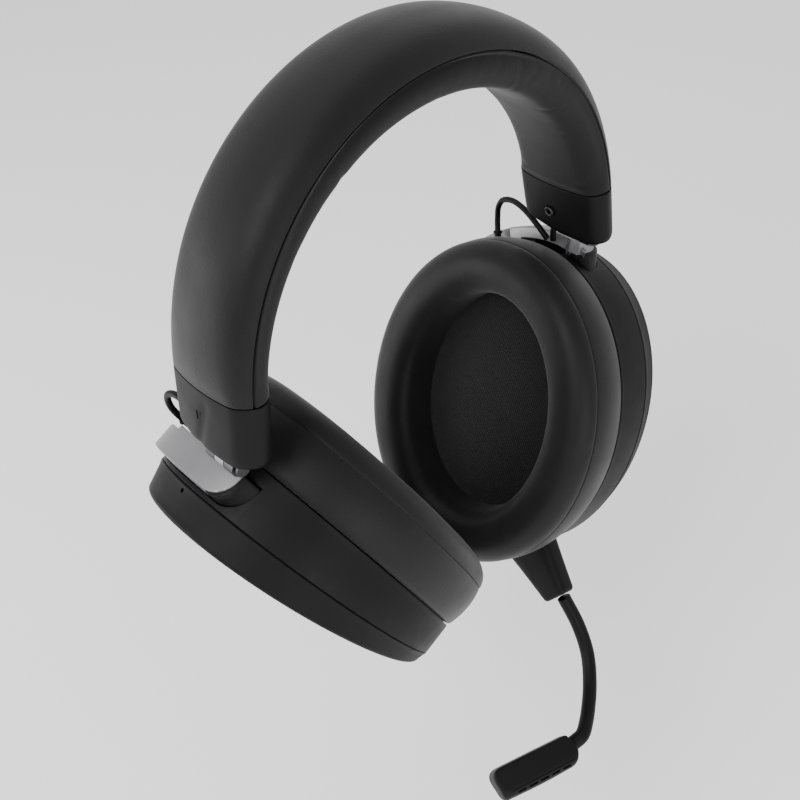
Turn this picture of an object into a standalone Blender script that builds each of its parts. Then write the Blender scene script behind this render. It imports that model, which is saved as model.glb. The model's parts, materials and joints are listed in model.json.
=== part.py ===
"""Wireless gaming headset with a padded band, sliding and tilting ear cups and a plug-in microphone.

Row frame: +X is the wearer's left, +Y the wearer's back, +Z up. The origin is where the crown of
the head meets the underside of the headband pad. Lengths are metres.

Each side has two local frames. The end frame sits on the seam where the band's cover meets its
plastic end cap: X points outwards, Z runs up along the band. The cup frame sits in the middle of
the cup's rim plane: X points outwards along the cup's axis, Z is up. The right side is the left
side with X turned round.
"""
import math

import bmesh
import bpy
from mathutils import Matrix, Vector

GAP = 0.0003                         # clearance between pieces that touch
BORE_FIT = 0.0002                    # extra radius of a bore round its pin or axle
OVERCUT = 0.001                      # how far a cutter runs past the face that it opens

# Headband arch: distance from the arch's middle to the band's centre line, by angle from the top
ARCH_RADIUS = 0.06696
ARCH_NARROWING = 0.035               # how far the sides draw in
ARCH_FLATNESS = -0.003
ARCH_END = math.radians(80.6)
BAND_WIDTH = (0.0316, 0.0296)        # front to back, at the ends and at the crown
BAND_DEPTH = (0.0086, 0.0132)        # straight part of the side, at the ends and at the crown
COVER_CORNER, COVER_CROWN = 0.0050, 0.0025
PAD_CORNER, PAD_CROWN = 0.0043, 0.0020
SEAM_SHARE = 0.67                    # height of the side seam, from the pad's face
SPRING_WIDTH, SPRING_DEPTH, SPRING_OUT = 0.0150, 0.0008, 0.0040
CHANNEL_WIDTH = 0.0172               # pocket inside the band for the spring and the slider
BAND_SECTIONS = 26

# End caps and sliders, in the end frame
CAP_LENGTH = 0.0160
SLIDER_EDGES = (-0.0080, 0.0038)     # the strip's front and back edges; the lead runs behind it
SLIDER_DEPTH, SLIDER_OUT = 0.0016, -0.0005
SLIDER_TOP, SLIDER_BOTTOM = 0.0215, -0.0222
SLIDER_TRAVEL = 0.0250
CAP_SCREW_HEIGHT, CAP_SCREW_ACROSS, CAP_SCREW_RADIUS = -0.0098, 0.0014, 0.0011
CAP_SCREW_HEAD, CAP_SCREW_SPAN = 0.0021, (-0.0052, 0.0056)   # head radius; shank, inside to outside
CAP_FLOOR = 0.0043                   # thickness of the cap below its pocket
HINGE_X, HINGE_DROP = 0.0660, 0.0210  # tilt axis: half the spacing, and below the seam

# Ear cups, in the cup frame
CUP_A, CUP_B = 0.0434, 0.0522        # half axes, front to back and up
CUP_Y = 0.0049
HINGE_OUT, HINGE_UP = 0.0034, 0.0597  # the tilt axis seen from the cup's middle
TILT = {"left": math.radians(22.7), "right": math.radians(25.4)}
CREASE_OUT, CREASE_SLOPE = 0.0114, 0.07
EDGE_OUT, EDGE_SLOPE = 0.0172, 0.145
SHELL_WALL = 0.0020
RECESS_DEPTH = 0.0038                # where the yoke lies along the top of the shell
RECESS_START, RECESS_END = math.radians(-20), math.radians(70)
RECESS_RAMP = math.radians(5)
CHANNEL_START, CHANNEL_END = 0.0036, 0.0144   # the recess along the cup's axis
CUP_STEPS, FIRST_TURN = 48, math.radians(-1.5)   # sections round the oval fall on the recess's ends
COVER_SHOULDER, COVER_LEAST_DEPTH = 0.0034, 0.0030
CUSHION_WALL = 0.0150                # from the cushion's outside to its opening, at its foot

# Yoke, in the cup frame
YOKE_IN, YOKE_OUT = 0.0044, 0.0134   # along the cup's axis
YOKE_TOP, YOKE_UNDER = 0.0035, -0.0007
YOKE_START, YOKE_END, YOKE_SECTIONS = math.radians(-16), math.radians(60), 18
YOKE_FOOT, YOKE_TAPER = math.radians(6), math.radians(14)   # length of a foot and of the front taper
YOKE_FRONT_NARROWING, YOKE_FRONT_SINKING = 0.0045, 0.0010
KNUCKLE_RADIUS, PIN_RADIUS = 0.0025, 0.0011
PIN_HEAD_RADIUS, PIN_HEAD_HEIGHT = 0.0019, 0.0010
STEM_IN, STEM_OUT = -0.0008, 0.0020  # the eye's stem along the cup's axis, from the tilt axis
KNUCKLE_Y = (-0.0080, 0.0030)        # the hinge's ends, in the row frame
LEAD_Y = 0.0051                      # where the lead runs down beside the hinge, in the row frame

# Microphone, in the left cup's frame: the boot's axis leaves the shell low at the front
BOOT_OUT, BOOT_Y, BOOT_Z = 0.0058, -0.0220, -0.0453
BOOT_ANGLE, BOOT_FLARE = math.radians(36), 0.05   # below level pointing forwards, and outwards
BOOT_LENGTH = 0.0193
BOOT_WIDTH, BOOT_DEPTH = (0.0184, 0.0096), (0.0092, 0.0074)
PLUG_RADIUS, PLUG_LENGTH = 0.00175, 0.0140
SOCKET_RADIUS, SOCKET_SPAN = 0.0025, (0.0040, 0.0155)   # how far in from the shell it lies
BOOM_RADIUS = 0.0023
BOOM_ROUTE = [(0.0254, -0.0333, -0.1790), (0.0251, -0.0400, -0.1874), (0.0226, -0.0462, -0.1944),
              (0.0170, -0.0520, -0.1989), (0.0102, -0.0570, -0.2004), (0.0048, -0.0603, -0.2005),
              (0.0016, -0.0617, -0.2003), (-0.0010, -0.0612, -0.2002)]   # in the row frame
CAPSULE_MIDDLE = (-0.0160, -0.0568, -0.2002)
CAPSULE_SIZE = (0.0296, 0.0126, 0.0080)
CAPSULE_TURN, CAPSULE_TILT = math.radians(-17), math.radians(30)
GRILLE_LENGTH, GRILLE_DEPTH = 0.0200, 0.0016   # as deep as half its height
GRILLE_SLOTS, GRILLE_PITCH, GRILLE_SLOT = 5, 0.0034, (0.0022, 0.0008)

# Controls: where they stand on the shell's wall, as turns round the oval from its top to the back
CONTROL_OUT = 0.0055
BUTTON_RADIUS, BUTTON_PROUD, BUTTON_DEPTH = 0.0021, 0.0008, 0.0040
FLANGE_RIM, FLANGE_START = 0.0008, 0.0026
VOLUME_TURN, MUTE_TURN = math.radians(112), math.radians(138)
VOLUME_RADIUS, VOLUME_WIDTH, VOLUME_AXLE = 0.0075, 0.0034, 0.0012
VOLUME_PROUD, VOLUME_TEETH, TOOTH_DEPTH = 0.0014, 24, 0.0003
POWER_TURN, PORT_TURN = math.radians(118), math.radians(148)
PORT_WIDTH, PORT_HEIGHT, PORT_DEPTH = 0.0090, 0.0034, 0.0070
BAFFLE_DEPTH, DRIVER_DEPTH, DRIVER_RADIUS = 0.0022, 0.0070, 0.0200
SCREEN_IN, SCREEN_OUT = -0.0062, -0.0050   # faces of the cloth screen along the cup's axis
BOARD_WIDTH, BOARD_HEIGHT, BOARD_DEPTH = 0.038, 0.032, 0.0014
BATTERY_WIDTH, BATTERY_HEIGHT, BATTERY_DEPTH = 0.032, 0.034, 0.0040

# Leads: the upper one ends where the loop starts, in the cup frame as (across, up) on one plane
LEAD_RADIUS = 0.00095
LEAD_OUT, LEAD_IN_CAP, LEAD_TOP = 0.0016, 0.0, 0.0180
GROMMET_RADIUS, GROMMET_TIP, GROMMET_LENGTH = 0.0016, 0.0012, 0.0060
LEAD_TURN = (0.0000, 0.0545)
LEAD_LOOP = [(0.0022, 0.0542), (0.0059, 0.0562), (0.0116, 0.0590), (0.0155, 0.0602), (0.0186, 0.0604),
             (0.0214, 0.0597), (0.0238, 0.0572), (0.0241, 0.0544), (0.0226, 0.0512), (0.0216, 0.0487)]

COLOURS = {
    "leather": ((0.020, 0.020, 0.022), 0.55, 0.0),
    "plastic": ((0.022, 0.022, 0.024), 0.50, 0.0),
    "aluminium": ((0.30, 0.30, 0.32), 0.35, 1.0),
    "steel": ((0.45, 0.45, 0.46), 0.30, 1.0),
    "cloth": ((0.014, 0.014, 0.015), 0.95, 0.0),
    "rubber": ((0.016, 0.016, 0.017), 0.70, 0.0),
    "board": ((0.02, 0.12, 0.06), 0.50, 0.0),
    "battery": ((0.25, 0.26, 0.28), 0.40, 0.0),
}


# ---------------------------------------------------------------- scene and mesh helpers

def clear_scene():
    for obj in list(bpy.data.objects):
        bpy.data.objects.remove(obj, do_unlink=True)


def make_collection(name):
    collection = bpy.data.collections.new(name)
    bpy.context.scene.collection.children.link(collection)
    return collection


def make_material(name):
    colour, roughness, metallic = COLOURS[name]
    material = bpy.data.materials.new(name)
    material.use_nodes = True
    shader = material.node_tree.nodes["Principled BSDF"]
    shader.inputs["Base Color"].default_value = (*colour, 1.0)
    shader.inputs["Roughness"].default_value = roughness
    shader.inputs["Metallic"].default_value = metallic
    return material


def add_mesh(name, bm, look, parent=None, side=1, smooth=40):
    """Make an object from bm; side -1 turns its X round for the right-hand piece."""
    if side < 0:
        bmesh.ops.scale(bm, vec=(-1, 1, 1), verts=bm.verts)
    bmesh.ops.recalc_face_normals(bm, faces=bm.faces)
    mesh = bpy.data.meshes.new(name)
    bm.to_mesh(mesh)
    bm.free()
    mesh.shade_smooth()
    mesh.set_sharp_from_angle(angle=math.radians(smooth))
    obj = bpy.data.objects.new(name, mesh)
    if look is None:
        CUTTERS.objects.link(obj)
        obj.hide_render = True
        obj.display_type = "WIRE"
    else:
        PARTS.objects.link(obj)
        mesh.materials.append(MATERIALS[look])
    obj.parent = parent
    return obj


def add_empty(name, location, turn_y, parent=None):
    empty = bpy.data.objects.new(name, None)
    empty.location = location
    empty.rotation_euler = (0, turn_y, 0)
    empty.parent = parent
    PARTS.objects.link(empty)
    bpy.context.view_layer.update()
    return empty


def boolean(obj, cutter, operation="DIFFERENCE"):
    modifier = obj.modifiers.new(operation.title(), "BOOLEAN")
    modifier.operation = operation
    modifier.object = cutter
    modifier.solver = "EXACT"


def bevel(obj, width, segments=2, angle=35):
    modifier = obj.modifiers.new("Bevel", "BEVEL")
    modifier.width = width
    modifier.segments = segments
    modifier.limit_method = "ANGLE"
    modifier.angle_limit = math.radians(angle)


def box_mesh(low, high):
    bm = bmesh.new()
    bmesh.ops.create_cube(bm, size=1.0)
    size = [h - l for l, h in zip(low, high)]
    middle = [(h + l) / 2 for l, h in zip(low, high)]
    bmesh.ops.scale(bm, vec=size, verts=bm.verts)
    bmesh.ops.translate(bm, vec=middle, verts=bm.verts)
    return bm


def rod_mesh(radius, start, end, sides=20, end_radius=None):
    """A cylinder or cone from one point to another."""
    start, end = Vector(start), Vector(end)
    bm = bmesh.new()
    bmesh.ops.create_cone(bm, cap_ends=True, segments=sides, radius1=radius,
                          radius2=radius if end_radius is None else end_radius,
                          depth=(end - start).length)
    turn = (end - start).to_track_quat("Z", "Y").to_matrix().to_4x4()
    bmesh.ops.transform(bm, matrix=Matrix.Translation((start + end) / 2) @ turn, verts=bm.verts)
    return bm


def turned_mesh(profile, sides=32):
    """Turn an outline of (radius, height) points, both ends on the axis, about Z."""
    bm = bmesh.new()
    chain = [bm.verts.new((radius, 0, height)) for radius, height in profile]
    edges = [bm.edges.new(pair) for pair in zip(chain, chain[1:])]
    bmesh.ops.spin(bm, geom=chain + edges, cent=(0, 0, 0), axis=(0, 0, 1),
                   angle=math.tau, steps=sides, use_merge=True)
    bmesh.ops.remove_doubles(bm, verts=bm.verts, dist=1e-6)
    return bm


def loft_mesh(rings, closed=False):
    """Skin equal-length rings of points; closed joins the last ring to the first."""
    bm = bmesh.new()
    loops = [[bm.verts.new(point) for point in ring] for ring in rings]
    following = loops[1:] + loops[:1] if closed else loops[1:]
    for ring, after in zip(loops, following):
        for i in range(len(ring)):
            j = (i + 1) % len(ring)
            bm.faces.new((ring[i], ring[j], after[j], after[i]))
    if not closed:
        bm.faces.new(loops[0])
        bm.faces.new(loops[-1])
    return bm


def smooth_route(points, per_span):
    """Points on a Catmull-Rom curve through the given ones."""
    points = [Vector(p) for p in points]
    padded = [2 * points[0] - points[1]] + points + [2 * points[-1] - points[-2]]
    route = []
    for a, b, c, d in zip(padded, padded[1:], padded[2:], padded[3:]):
        for k in range(per_span):
            t = k / per_span
            route.append(0.5 * (2 * b + (c - a) * t + (2 * a - 5 * b + 4 * c - d) * t * t
                                + (3 * b - a - 3 * c + d) * t ** 3))
    return route + [points[-1]]


def add_tube(name, points, radius, look, parent=None, side=1):
    curve = bpy.data.curves.new(name, "CURVE")
    curve.dimensions = "3D"
    curve.bevel_depth = radius
    curve.bevel_resolution = 2
    curve.use_fill_caps = True
    curve.render_resolution_u = 0
    spline = curve.splines.new("POLY")
    spline.points.add(len(points) - 1)
    for place, point in zip(spline.points, points):
        place.co = (side * point[0], point[1], point[2], 1)
    obj = bpy.data.objects.new(name, curve)
    obj.data.materials.append(MATERIALS[look])
    obj.parent = parent
    PARTS.objects.link(obj)
    return obj


def blend(low, high, share):
    return low + (high - low) * share


# ---------------------------------------------------------------- headband

def arch_radius(angle):
    ripple = ARCH_NARROWING * (math.cos(2 * angle) - 1) + ARCH_FLATNESS * (math.cos(4 * angle) - 1)
    return ARCH_RADIUS * (1 + ripple)


CROWN_DROP = ARCH_RADIUS - BAND_DEPTH[1] / 2 - PAD_CROWN
SEAM_X = arch_radius(ARCH_END) * math.sin(ARCH_END)
SEAM_Z = arch_radius(ARCH_END) * math.cos(ARCH_END) - CROWN_DROP


def arch_point(angle):
    return Vector((arch_radius(angle) * math.sin(angle), 0,
                   arch_radius(angle) * math.cos(angle) - CROWN_DROP))


def arch_tangent(angle):
    step = 0.001
    return (arch_point(angle + step) - arch_point(angle - step)).normalized()


END_LEAN = math.atan2(arch_tangent(ARCH_END).x, -arch_tangent(ARCH_END).z)


def band_size(angle):
    """Half width, half depth and seam height of the band at an angle from the top."""
    share = math.sin((1 - abs(angle) / ARCH_END) * math.pi / 2)
    width, depth = blend(*BAND_WIDTH, share) / 2, blend(*BAND_DEPTH, share) / 2
    return width, depth, (2 * SEAM_SHARE - 1) * depth


def half_outline(width, depth, corner, crown, seam, steps=5):
    """(across, out) points of one face's front half, from the side seam to the middle."""
    middle = Vector((corner - width, depth - corner))
    first = math.asin(max(-1.0, min(1.0, (seam - middle.y) / corner)))
    angles = [blend(first, math.pi / 2, k / steps) for k in range(steps + 1)]
    points = [middle + corner * Vector((-math.cos(a), math.sin(a))) for a in angles]
    points += [Vector((points[-1].x * share, depth)) for share in (0.6, 0.25)]
    for point in points:
        point.y += crown * (1 - (point.x / width) ** 2) * max(0.0, min(1.0, point.y / depth)) ** 2
    return points


def channelled(front_half, floor, channel_half, channel_floor):
    """Close a mirrored outline with a flat back at floor that has a channel in it."""
    back_half = [Vector((-p.x, p.y)) for p in reversed(front_half)]
    channel = [Vector((channel_half, floor)), Vector((channel_half, channel_floor)),
               Vector((-channel_half, channel_floor)), Vector((-channel_half, floor))]
    return front_half + back_half + channel


def band_ring(angle, outline):
    tangent = arch_tangent(angle)
    out = Vector((-tangent.z, 0, tangent.x))
    centre = arch_point(angle)
    return [centre + out * point.y + Vector((0, point.x, 0)) for point in outline]


def cover_outline(angle):
    width, depth, seam = band_size(angle)
    front = half_outline(width, depth, COVER_CORNER, COVER_CROWN, seam)
    return channelled(front, seam, CHANNEL_WIDTH / 2, SPRING_OUT + SPRING_DEPTH / 2 + GAP)


def pad_outline(angle):
    width, depth, seam = band_size(angle)
    front = half_outline(width - GAP, depth, PAD_CORNER, PAD_CROWN, GAP - seam)
    end_share = max(0.0, min(1.0, (abs(angle) / ARCH_END - 0.55) / 0.15))
    floor = blend(0.0006, 0.0050, end_share)
    outline = channelled(front, GAP - seam, CHANNEL_WIDTH / 2, GAP - seam + floor)
    return [Vector((p.x, -p.y)) for p in outline]


def headband():
    angles = [ARCH_END * (2 * k / BAND_SECTIONS - 1) for k in range(BAND_SECTIONS + 1)]
    add_mesh("headband_cover", loft_mesh([band_ring(a, cover_outline(a)) for a in angles]), "leather")
    add_mesh("headband_pad", loft_mesh([band_ring(a, pad_outline(a)) for a in angles]), "leather")
    half = SPRING_WIDTH / 2
    low, high = SPRING_OUT - SPRING_DEPTH / 2, SPRING_OUT + SPRING_DEPTH / 2
    strip = [Vector(p) for p in ((-half, low), (half, low), (half, high), (-half, high))]
    add_mesh("headband_spring", loft_mesh([band_ring(a * 0.99, strip) for a in angles]), "steel")


def end_cap(name, side, frame):
    """Hollow plastic cap that closes the band's end and guides the slider."""
    width, depth, seam = band_size(ARCH_END)
    outer = half_outline(width, depth, COVER_CORNER, COVER_CROWN, 0.0)
    inner = half_outline(width, depth, PAD_CORNER, PAD_CROWN, 0.0)
    outline = outer + [Vector((-p.x, p.y)) for p in reversed(outer)][:-1]
    outline += [Vector((-p.x, -p.y)) for p in inner] + [Vector((p.x, -p.y)) for p in reversed(inner)][:-1]
    rows = [(-GAP, 1.0), (-0.006, 0.998), (-0.0128, 0.980), (-0.0150, 0.955), (-CAP_LENGTH, 0.885)]
    rings = [[(p.y * scale, p.x * scale, height) for p in outline] for height, scale in rows]
    cap = add_mesh("end_cap_" + name, loft_mesh(rings), "plastic", frame, side)
    half = CHANNEL_WIDTH / 2
    slot_low, slot_high = SLIDER_OUT - SLIDER_DEPTH / 2 - GAP, SLIDER_OUT + SLIDER_DEPTH / 2 + GAP
    room = box_mesh((slot_low, -half, CAP_FLOOR - CAP_LENGTH), (SPRING_OUT + SPRING_DEPTH, half, OVERCUT))
    slot = box_mesh((slot_low, SLIDER_EDGES[0] - GAP, -CAP_LENGTH - OVERCUT),
                    (slot_high, SLIDER_EDGES[1] + GAP, -OVERCUT))
    boolean(cap, add_mesh("cut_cap_room_" + name, room, None, frame, side))
    boolean(cap, add_mesh("cut_cap_slot_" + name, slot, None, frame, side))
    lead_exit = rod_mesh(LEAD_RADIUS + 0.0005, (LEAD_IN_CAP, LEAD_Y, -CAP_LENGTH - OVERCUT),
                         (LEAD_IN_CAP, LEAD_Y, -0.002))
    boolean(cap, add_mesh("cut_cap_lead_" + name, lead_exit, None, frame, side))
    cap_screw(name, side, frame, cap)


def cap_screw(name, side, frame, cap):
    """Screw through the cap and the slider's stop slot, its head sunk in the cap's inner face."""
    centre = (CAP_SCREW_ACROSS, CAP_SCREW_HEIGHT)
    head_foot, tip = CAP_SCREW_SPAN
    head_hole = rod_mesh(CAP_SCREW_HEAD + 0.0005, (-0.0080, *centre), (head_foot + 0.0002, *centre))
    shank_hole = rod_mesh(CAP_SCREW_RADIUS + GAP, (head_foot + 0.0002, *centre), (tip + 0.0004, *centre))
    boolean(cap, add_mesh("cut_screw_head_" + name, head_hole, None, frame, side))
    boolean(cap, add_mesh("cut_screw_hole_" + name, shank_hole, None, frame, side))
    shank = rod_mesh(CAP_SCREW_RADIUS, (head_foot, *centre), (tip, *centre), 16)
    screw = add_mesh("end_cap_screw_" + name, shank, "steel", frame, side)
    head = rod_mesh(CAP_SCREW_HEAD, (head_foot - 0.0008, *centre), (head_foot + 0.0001, *centre), 20)
    boolean(screw, add_mesh("add_screw_head_" + name, head, None, frame, side), "UNION")


def knuckle_thirds():
    """The three barrels of the tilt hinge along Y: ear, eye, ear."""
    length = (KNUCKLE_Y[1] - KNUCKLE_Y[0] - 2 * GAP) / 3
    starts = [KNUCKLE_Y[0] + k * (length + GAP) for k in range(3)]
    return [(start, start + length) for start in starts]


def slider(name, side, frame, hinge):
    """Aluminium strip with a stop slot and a pair of hinge ears at its foot."""
    low, high = SLIDER_OUT - SLIDER_DEPTH / 2, SLIDER_OUT + SLIDER_DEPTH / 2
    front_edge, back_edge = SLIDER_EDGES
    blank = box_mesh((low, front_edge, SLIDER_BOTTOM), (high, back_edge, SLIDER_TOP))
    strip = add_mesh("slider_" + name, blank, "aluminium", frame, side)
    clearance = CAP_SCREW_RADIUS + GAP
    slot_low, slot_high = CAP_SCREW_HEIGHT - clearance, CAP_SCREW_HEIGHT + SLIDER_TRAVEL + clearance
    slot = box_mesh((low - OVERCUT, CAP_SCREW_ACROSS - clearance, slot_low),
                    (high + OVERCUT, CAP_SCREW_ACROSS + clearance, slot_high))
    boolean(strip, add_mesh("cut_slider_slot_" + name, slot, None, frame, side))
    front, eye, back = knuckle_thirds()
    eye_gap = box_mesh((low - OVERCUT, eye[0] - GAP, SLIDER_BOTTOM - OVERCUT),
                       (high + OVERCUT, eye[1] + GAP, hinge.z + KNUCKLE_RADIUS + 2 * GAP))
    boolean(strip, add_mesh("cut_slider_foot_" + name, eye_gap, None, frame, side))
    for label, (start, end) in (("front", front), ("back", back)):
        tag = "{}_{}".format(label, name)
        web = box_mesh((low, start, hinge.z - 0.0008), (hinge.x + 0.0006, end, hinge.z + 0.0042))
        boolean(strip, add_mesh("add_ear_web_" + tag, web, None, frame, side), "UNION")
        ear = rod_mesh(KNUCKLE_RADIUS, (hinge.x, start, hinge.z), (hinge.x, end, hinge.z), 24)
        boolean(strip, add_mesh("add_ear_" + tag, ear, None, frame, side), "UNION")
        bore = rod_mesh(PIN_RADIUS + BORE_FIT, (hinge.x, start - OVERCUT, hinge.z),
                        (hinge.x, end + OVERCUT, hinge.z))
        boolean(strip, add_mesh("cut_ear_bore_" + tag, bore, None, frame, side))
    head_foot = KNUCKLE_Y[0] - GAP
    shank = rod_mesh(PIN_RADIUS, (hinge.x, head_foot - 0.0005, hinge.z),
                     (hinge.x, KNUCKLE_Y[1] - 0.0002, hinge.z), 20)
    pin = add_mesh("tilt_pin_" + name, shank, "steel", frame, side)
    pin_head = rod_mesh(PIN_HEAD_RADIUS, (hinge.x, head_foot - PIN_HEAD_HEIGHT, hinge.z),
                        (hinge.x, head_foot, hinge.z), 20)
    boolean(pin, add_mesh("add_pin_head_" + name, pin_head, None, frame, side), "UNION")


# ---------------------------------------------------------------- ear cups

def oval(inset, turn):
    """(across, up) on the cup's oval, inset from its outside; turn is from the top, to the back."""
    return (CUP_A - inset) * math.sin(turn), (CUP_B - inset) * math.cos(turn)


def crease_out(up):
    return CREASE_OUT + CREASE_SLOPE * up


def edge_out(up):
    return EDGE_OUT + EDGE_SLOPE * up


def ease(value):
    value = max(0.0, min(1.0, value))
    return value * value * (3 - 2 * value)


def recess(turn):
    """Depth of the yoke's channel at one turn round the oval."""
    turn = (turn + math.pi) % math.tau - math.pi
    opening = ease((turn - RECESS_START) / RECESS_RAMP + 0.5)
    closing = ease((RECESS_END - turn) / RECESS_RAMP + 0.5)
    return RECESS_DEPTH * opening * closing


def turns():
    return [FIRST_TURN + math.tau * k / CUP_STEPS for k in range(CUP_STEPS)]


def ring_at(turn, profile):
    """Place (inset, out) points of a cup section at one turn round the oval."""
    return [(out, *oval(inset, turn)) for inset, out in profile]


def cup_shell(name, side, frame):
    """Side wall with the yoke's recess, from the rim to the crease under the cover."""
    rings = []
    for turn in turns():
        dent = recess(turn)
        crease = crease_out(oval(0, turn)[1])
        far_side = min(CHANNEL_END, crease - 2 * GAP)
        profile = [(0.0003, 0.0), (0.0, 0.0003), (0.0, CHANNEL_START), (dent, CHANNEL_START + 0.0004),
                   (dent, far_side - 0.0003), (0.0, far_side), (0.0, crease),
                   (dent + SHELL_WALL, crease), (dent + SHELL_WALL, 0.0)]
        rings.append(ring_at(turn, profile))
    return add_mesh("cup_shell_" + name, loft_mesh(rings, closed=True), "plastic", frame, side)


def cup_cover(name, side, frame):
    """Domed outer cover, deeper at the top, with a shoulder round its edge."""
    skins = []
    for depth in (0.0, SHELL_WALL):
        rings = []
        for inset, share, rise in ((0.0, 0.0, 0), (0.0004, 0.5, 0), (0.0014, 0.86, 0),
                                   (COVER_SHOULDER, 1.0, 0.0001), (0.0090, 1.0, 0.0008),
                                   (0.0180, 1.0, 0.0014), (0.0300, 1.0, 0.0018)):
            ring = []
            for turn in turns():
                across, up = oval(inset, turn)
                low, high = crease_out(up) + GAP, edge_out(up)
                high = max(high, low + COVER_LEAST_DEPTH)
                out = low + (high - low) * share + rise
                if depth:
                    push = min(1.0, inset / COVER_SHOULDER)
                    across, up = oval(max(inset, 0.0004) + depth + (1 - push) * recess(turn), turn)
                    out = max(low, out - depth)
                ring.append((out, across, up))
            rings.append(ring)
        skins.append(rings)
    outer, inner = skins
    bm = loft_mesh(list(reversed(outer)) + inner)
    return add_mesh("cup_cover_" + name, bm, "plastic", frame, side)


def ear_cushion(name, side, frame):
    """Soft ring that swells past the shell and rolls over into the ear opening."""
    rings = []
    for turn in turns():
        profile = [(0.0006, -GAP), (-0.0003, -0.0050), (-0.0009, -0.0095), (-0.0012, -0.0140),
                   (0.0008, -0.0178), (0.0047, -0.0202), (0.0090, -0.0208), (0.0120, -0.0201),
                   (0.0140, -0.0184), (0.0148, -0.0150), (CUSHION_WALL, -0.0070), (CUSHION_WALL, -GAP)]
        rings.append(ring_at(turn, profile))
    add_mesh("ear_cushion_" + name, loft_mesh(rings, closed=True), "leather", frame, side)


def plate_mesh(inset, low, high, follow_recess=False):
    rings = []
    for out in (low, high):
        rings.append([(out, *oval(inset + (recess(t) if follow_recess else 0), t)) for t in turns()])
    return loft_mesh(rings)


def cup_inside(name, side, frame):
    """Baffle, speaker driver and the cloth screen that the ear sees."""
    plate = plate_mesh(SHELL_WALL + GAP, 0.0, BAFFLE_DEPTH, follow_recess=True)
    baffle = add_mesh("baffle_" + name, plate, "plastic", frame, side)
    mouth = rod_mesh(DRIVER_RADIUS - 0.0025, (-0.001, 0, 0), (0.004, 0, 0), 32)
    boolean(baffle, add_mesh("cut_baffle_" + name, mouth, None, frame, side))
    outline = [(0, 0.0070), (0.0110, 0.0070), (0.0110, 0.0046), (0.0150, 0.0042), (0.0185, 0.0020),
               (DRIVER_RADIUS, 0.0016), (DRIVER_RADIUS, 0), (0, 0)]
    driver = turned_mesh(outline, 32)
    quarter_turn = Matrix.Rotation(math.pi / 2, 4, "Y")
    bmesh.ops.transform(driver, matrix=Matrix.Translation((BAFFLE_DEPTH + GAP, 0, 0)) @ quarter_turn,
                        verts=driver.verts)
    add_mesh("driver_" + name, driver, "steel", frame, side)
    screen = plate_mesh(CUSHION_WALL + GAP, SCREEN_IN, SCREEN_OUT)
    add_mesh("ear_screen_" + name, screen, "cloth", frame, side)


def yoke(name, side, frame):
    """Curved aluminium bracket over the top of the cup, with feet that rest in the shell's channel."""
    rings = []
    for k in range(YOKE_SECTIONS + 1):
        turn = blend(YOKE_START, YOKE_END, k / YOKE_SECTIONS)
        from_end = min(turn - YOKE_START, YOKE_END - turn)
        foot = 1 - ease(from_end / YOKE_FOOT)
        under = blend(YOKE_UNDER, GAP - RECESS_DEPTH, foot)
        front = 1 - ease((turn - YOKE_START) / YOKE_TAPER)
        outer = min(YOKE_OUT, crease_out(oval(0, turn)[1]) - 0.0013) - YOKE_FRONT_NARROWING * front ** 2
        top = YOKE_TOP - YOKE_FRONT_SINKING * front ** 3
        profile = [(-under, YOKE_IN), (-top + 0.0004, YOKE_IN), (-top, YOKE_IN + 0.0005),
                   (-top, outer - 0.0009), (-top + 0.0007, outer), (-under, outer)]
        rings.append(ring_at(turn, profile))
    bracket = add_mesh("yoke_" + name, loft_mesh(rings), "aluminium", frame, side, smooth=30)
    start, end = [y - CUP_Y for y in knuckle_thirds()[1]]
    foot_corner = (HINGE_OUT + STEM_IN, start, CUP_B + 0.0008)
    stem = box_mesh(foot_corner, (HINGE_OUT + STEM_OUT, end, HINGE_UP))
    root = box_mesh(foot_corner, (YOKE_IN + 0.0010, end, CUP_B + 0.0032))
    eye = rod_mesh(KNUCKLE_RADIUS, (HINGE_OUT, start, HINGE_UP), (HINGE_OUT, end, HINGE_UP), 24)
    for label, piece in (("stem", stem), ("root", root), ("eye", eye)):
        boolean(bracket, add_mesh("add_yoke_{}_{}".format(label, name), piece, None, frame, side), "UNION")
    bore = rod_mesh(PIN_RADIUS + BORE_FIT, (HINGE_OUT, start - OVERCUT, HINGE_UP),
                    (HINGE_OUT, end + OVERCUT, HINGE_UP))
    boolean(bracket, add_mesh("cut_yoke_bore_" + name, bore, None, frame, side))


def wall_frame(turn, out):
    """A point on the shell's outside at a turn round the oval, and the direction straight in."""
    across, up = oval(0, turn)
    inward = Vector((0, -across / CUP_A ** 2, -up / CUP_B ** 2)).normalized()
    return Vector((out, across, up)), inward


def push_button(label, shell, turn, side, frame):
    """Round button through the shell's wall, with a flange inside."""
    place, inward = wall_frame(turn, CONTROL_OUT)
    hole = rod_mesh(BUTTON_RADIUS + GAP, place - inward * 0.002, place + inward * 0.004)
    boolean(shell, add_mesh("cut_" + label, hole, None, frame, side))
    seat = add_empty(label + "_seat", (side * place.x, place.y, place.z), 0, frame)
    stud = rod_mesh(BUTTON_RADIUS, -inward * BUTTON_PROUD, inward * BUTTON_DEPTH, 20)
    button = add_mesh(label, stud, "plastic", seat, side)
    flange = rod_mesh(BUTTON_RADIUS + FLANGE_RIM, inward * FLANGE_START, inward * BUTTON_DEPTH, 20)
    boolean(button, add_mesh("add_" + label, flange, None, seat, side), "UNION")


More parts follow.
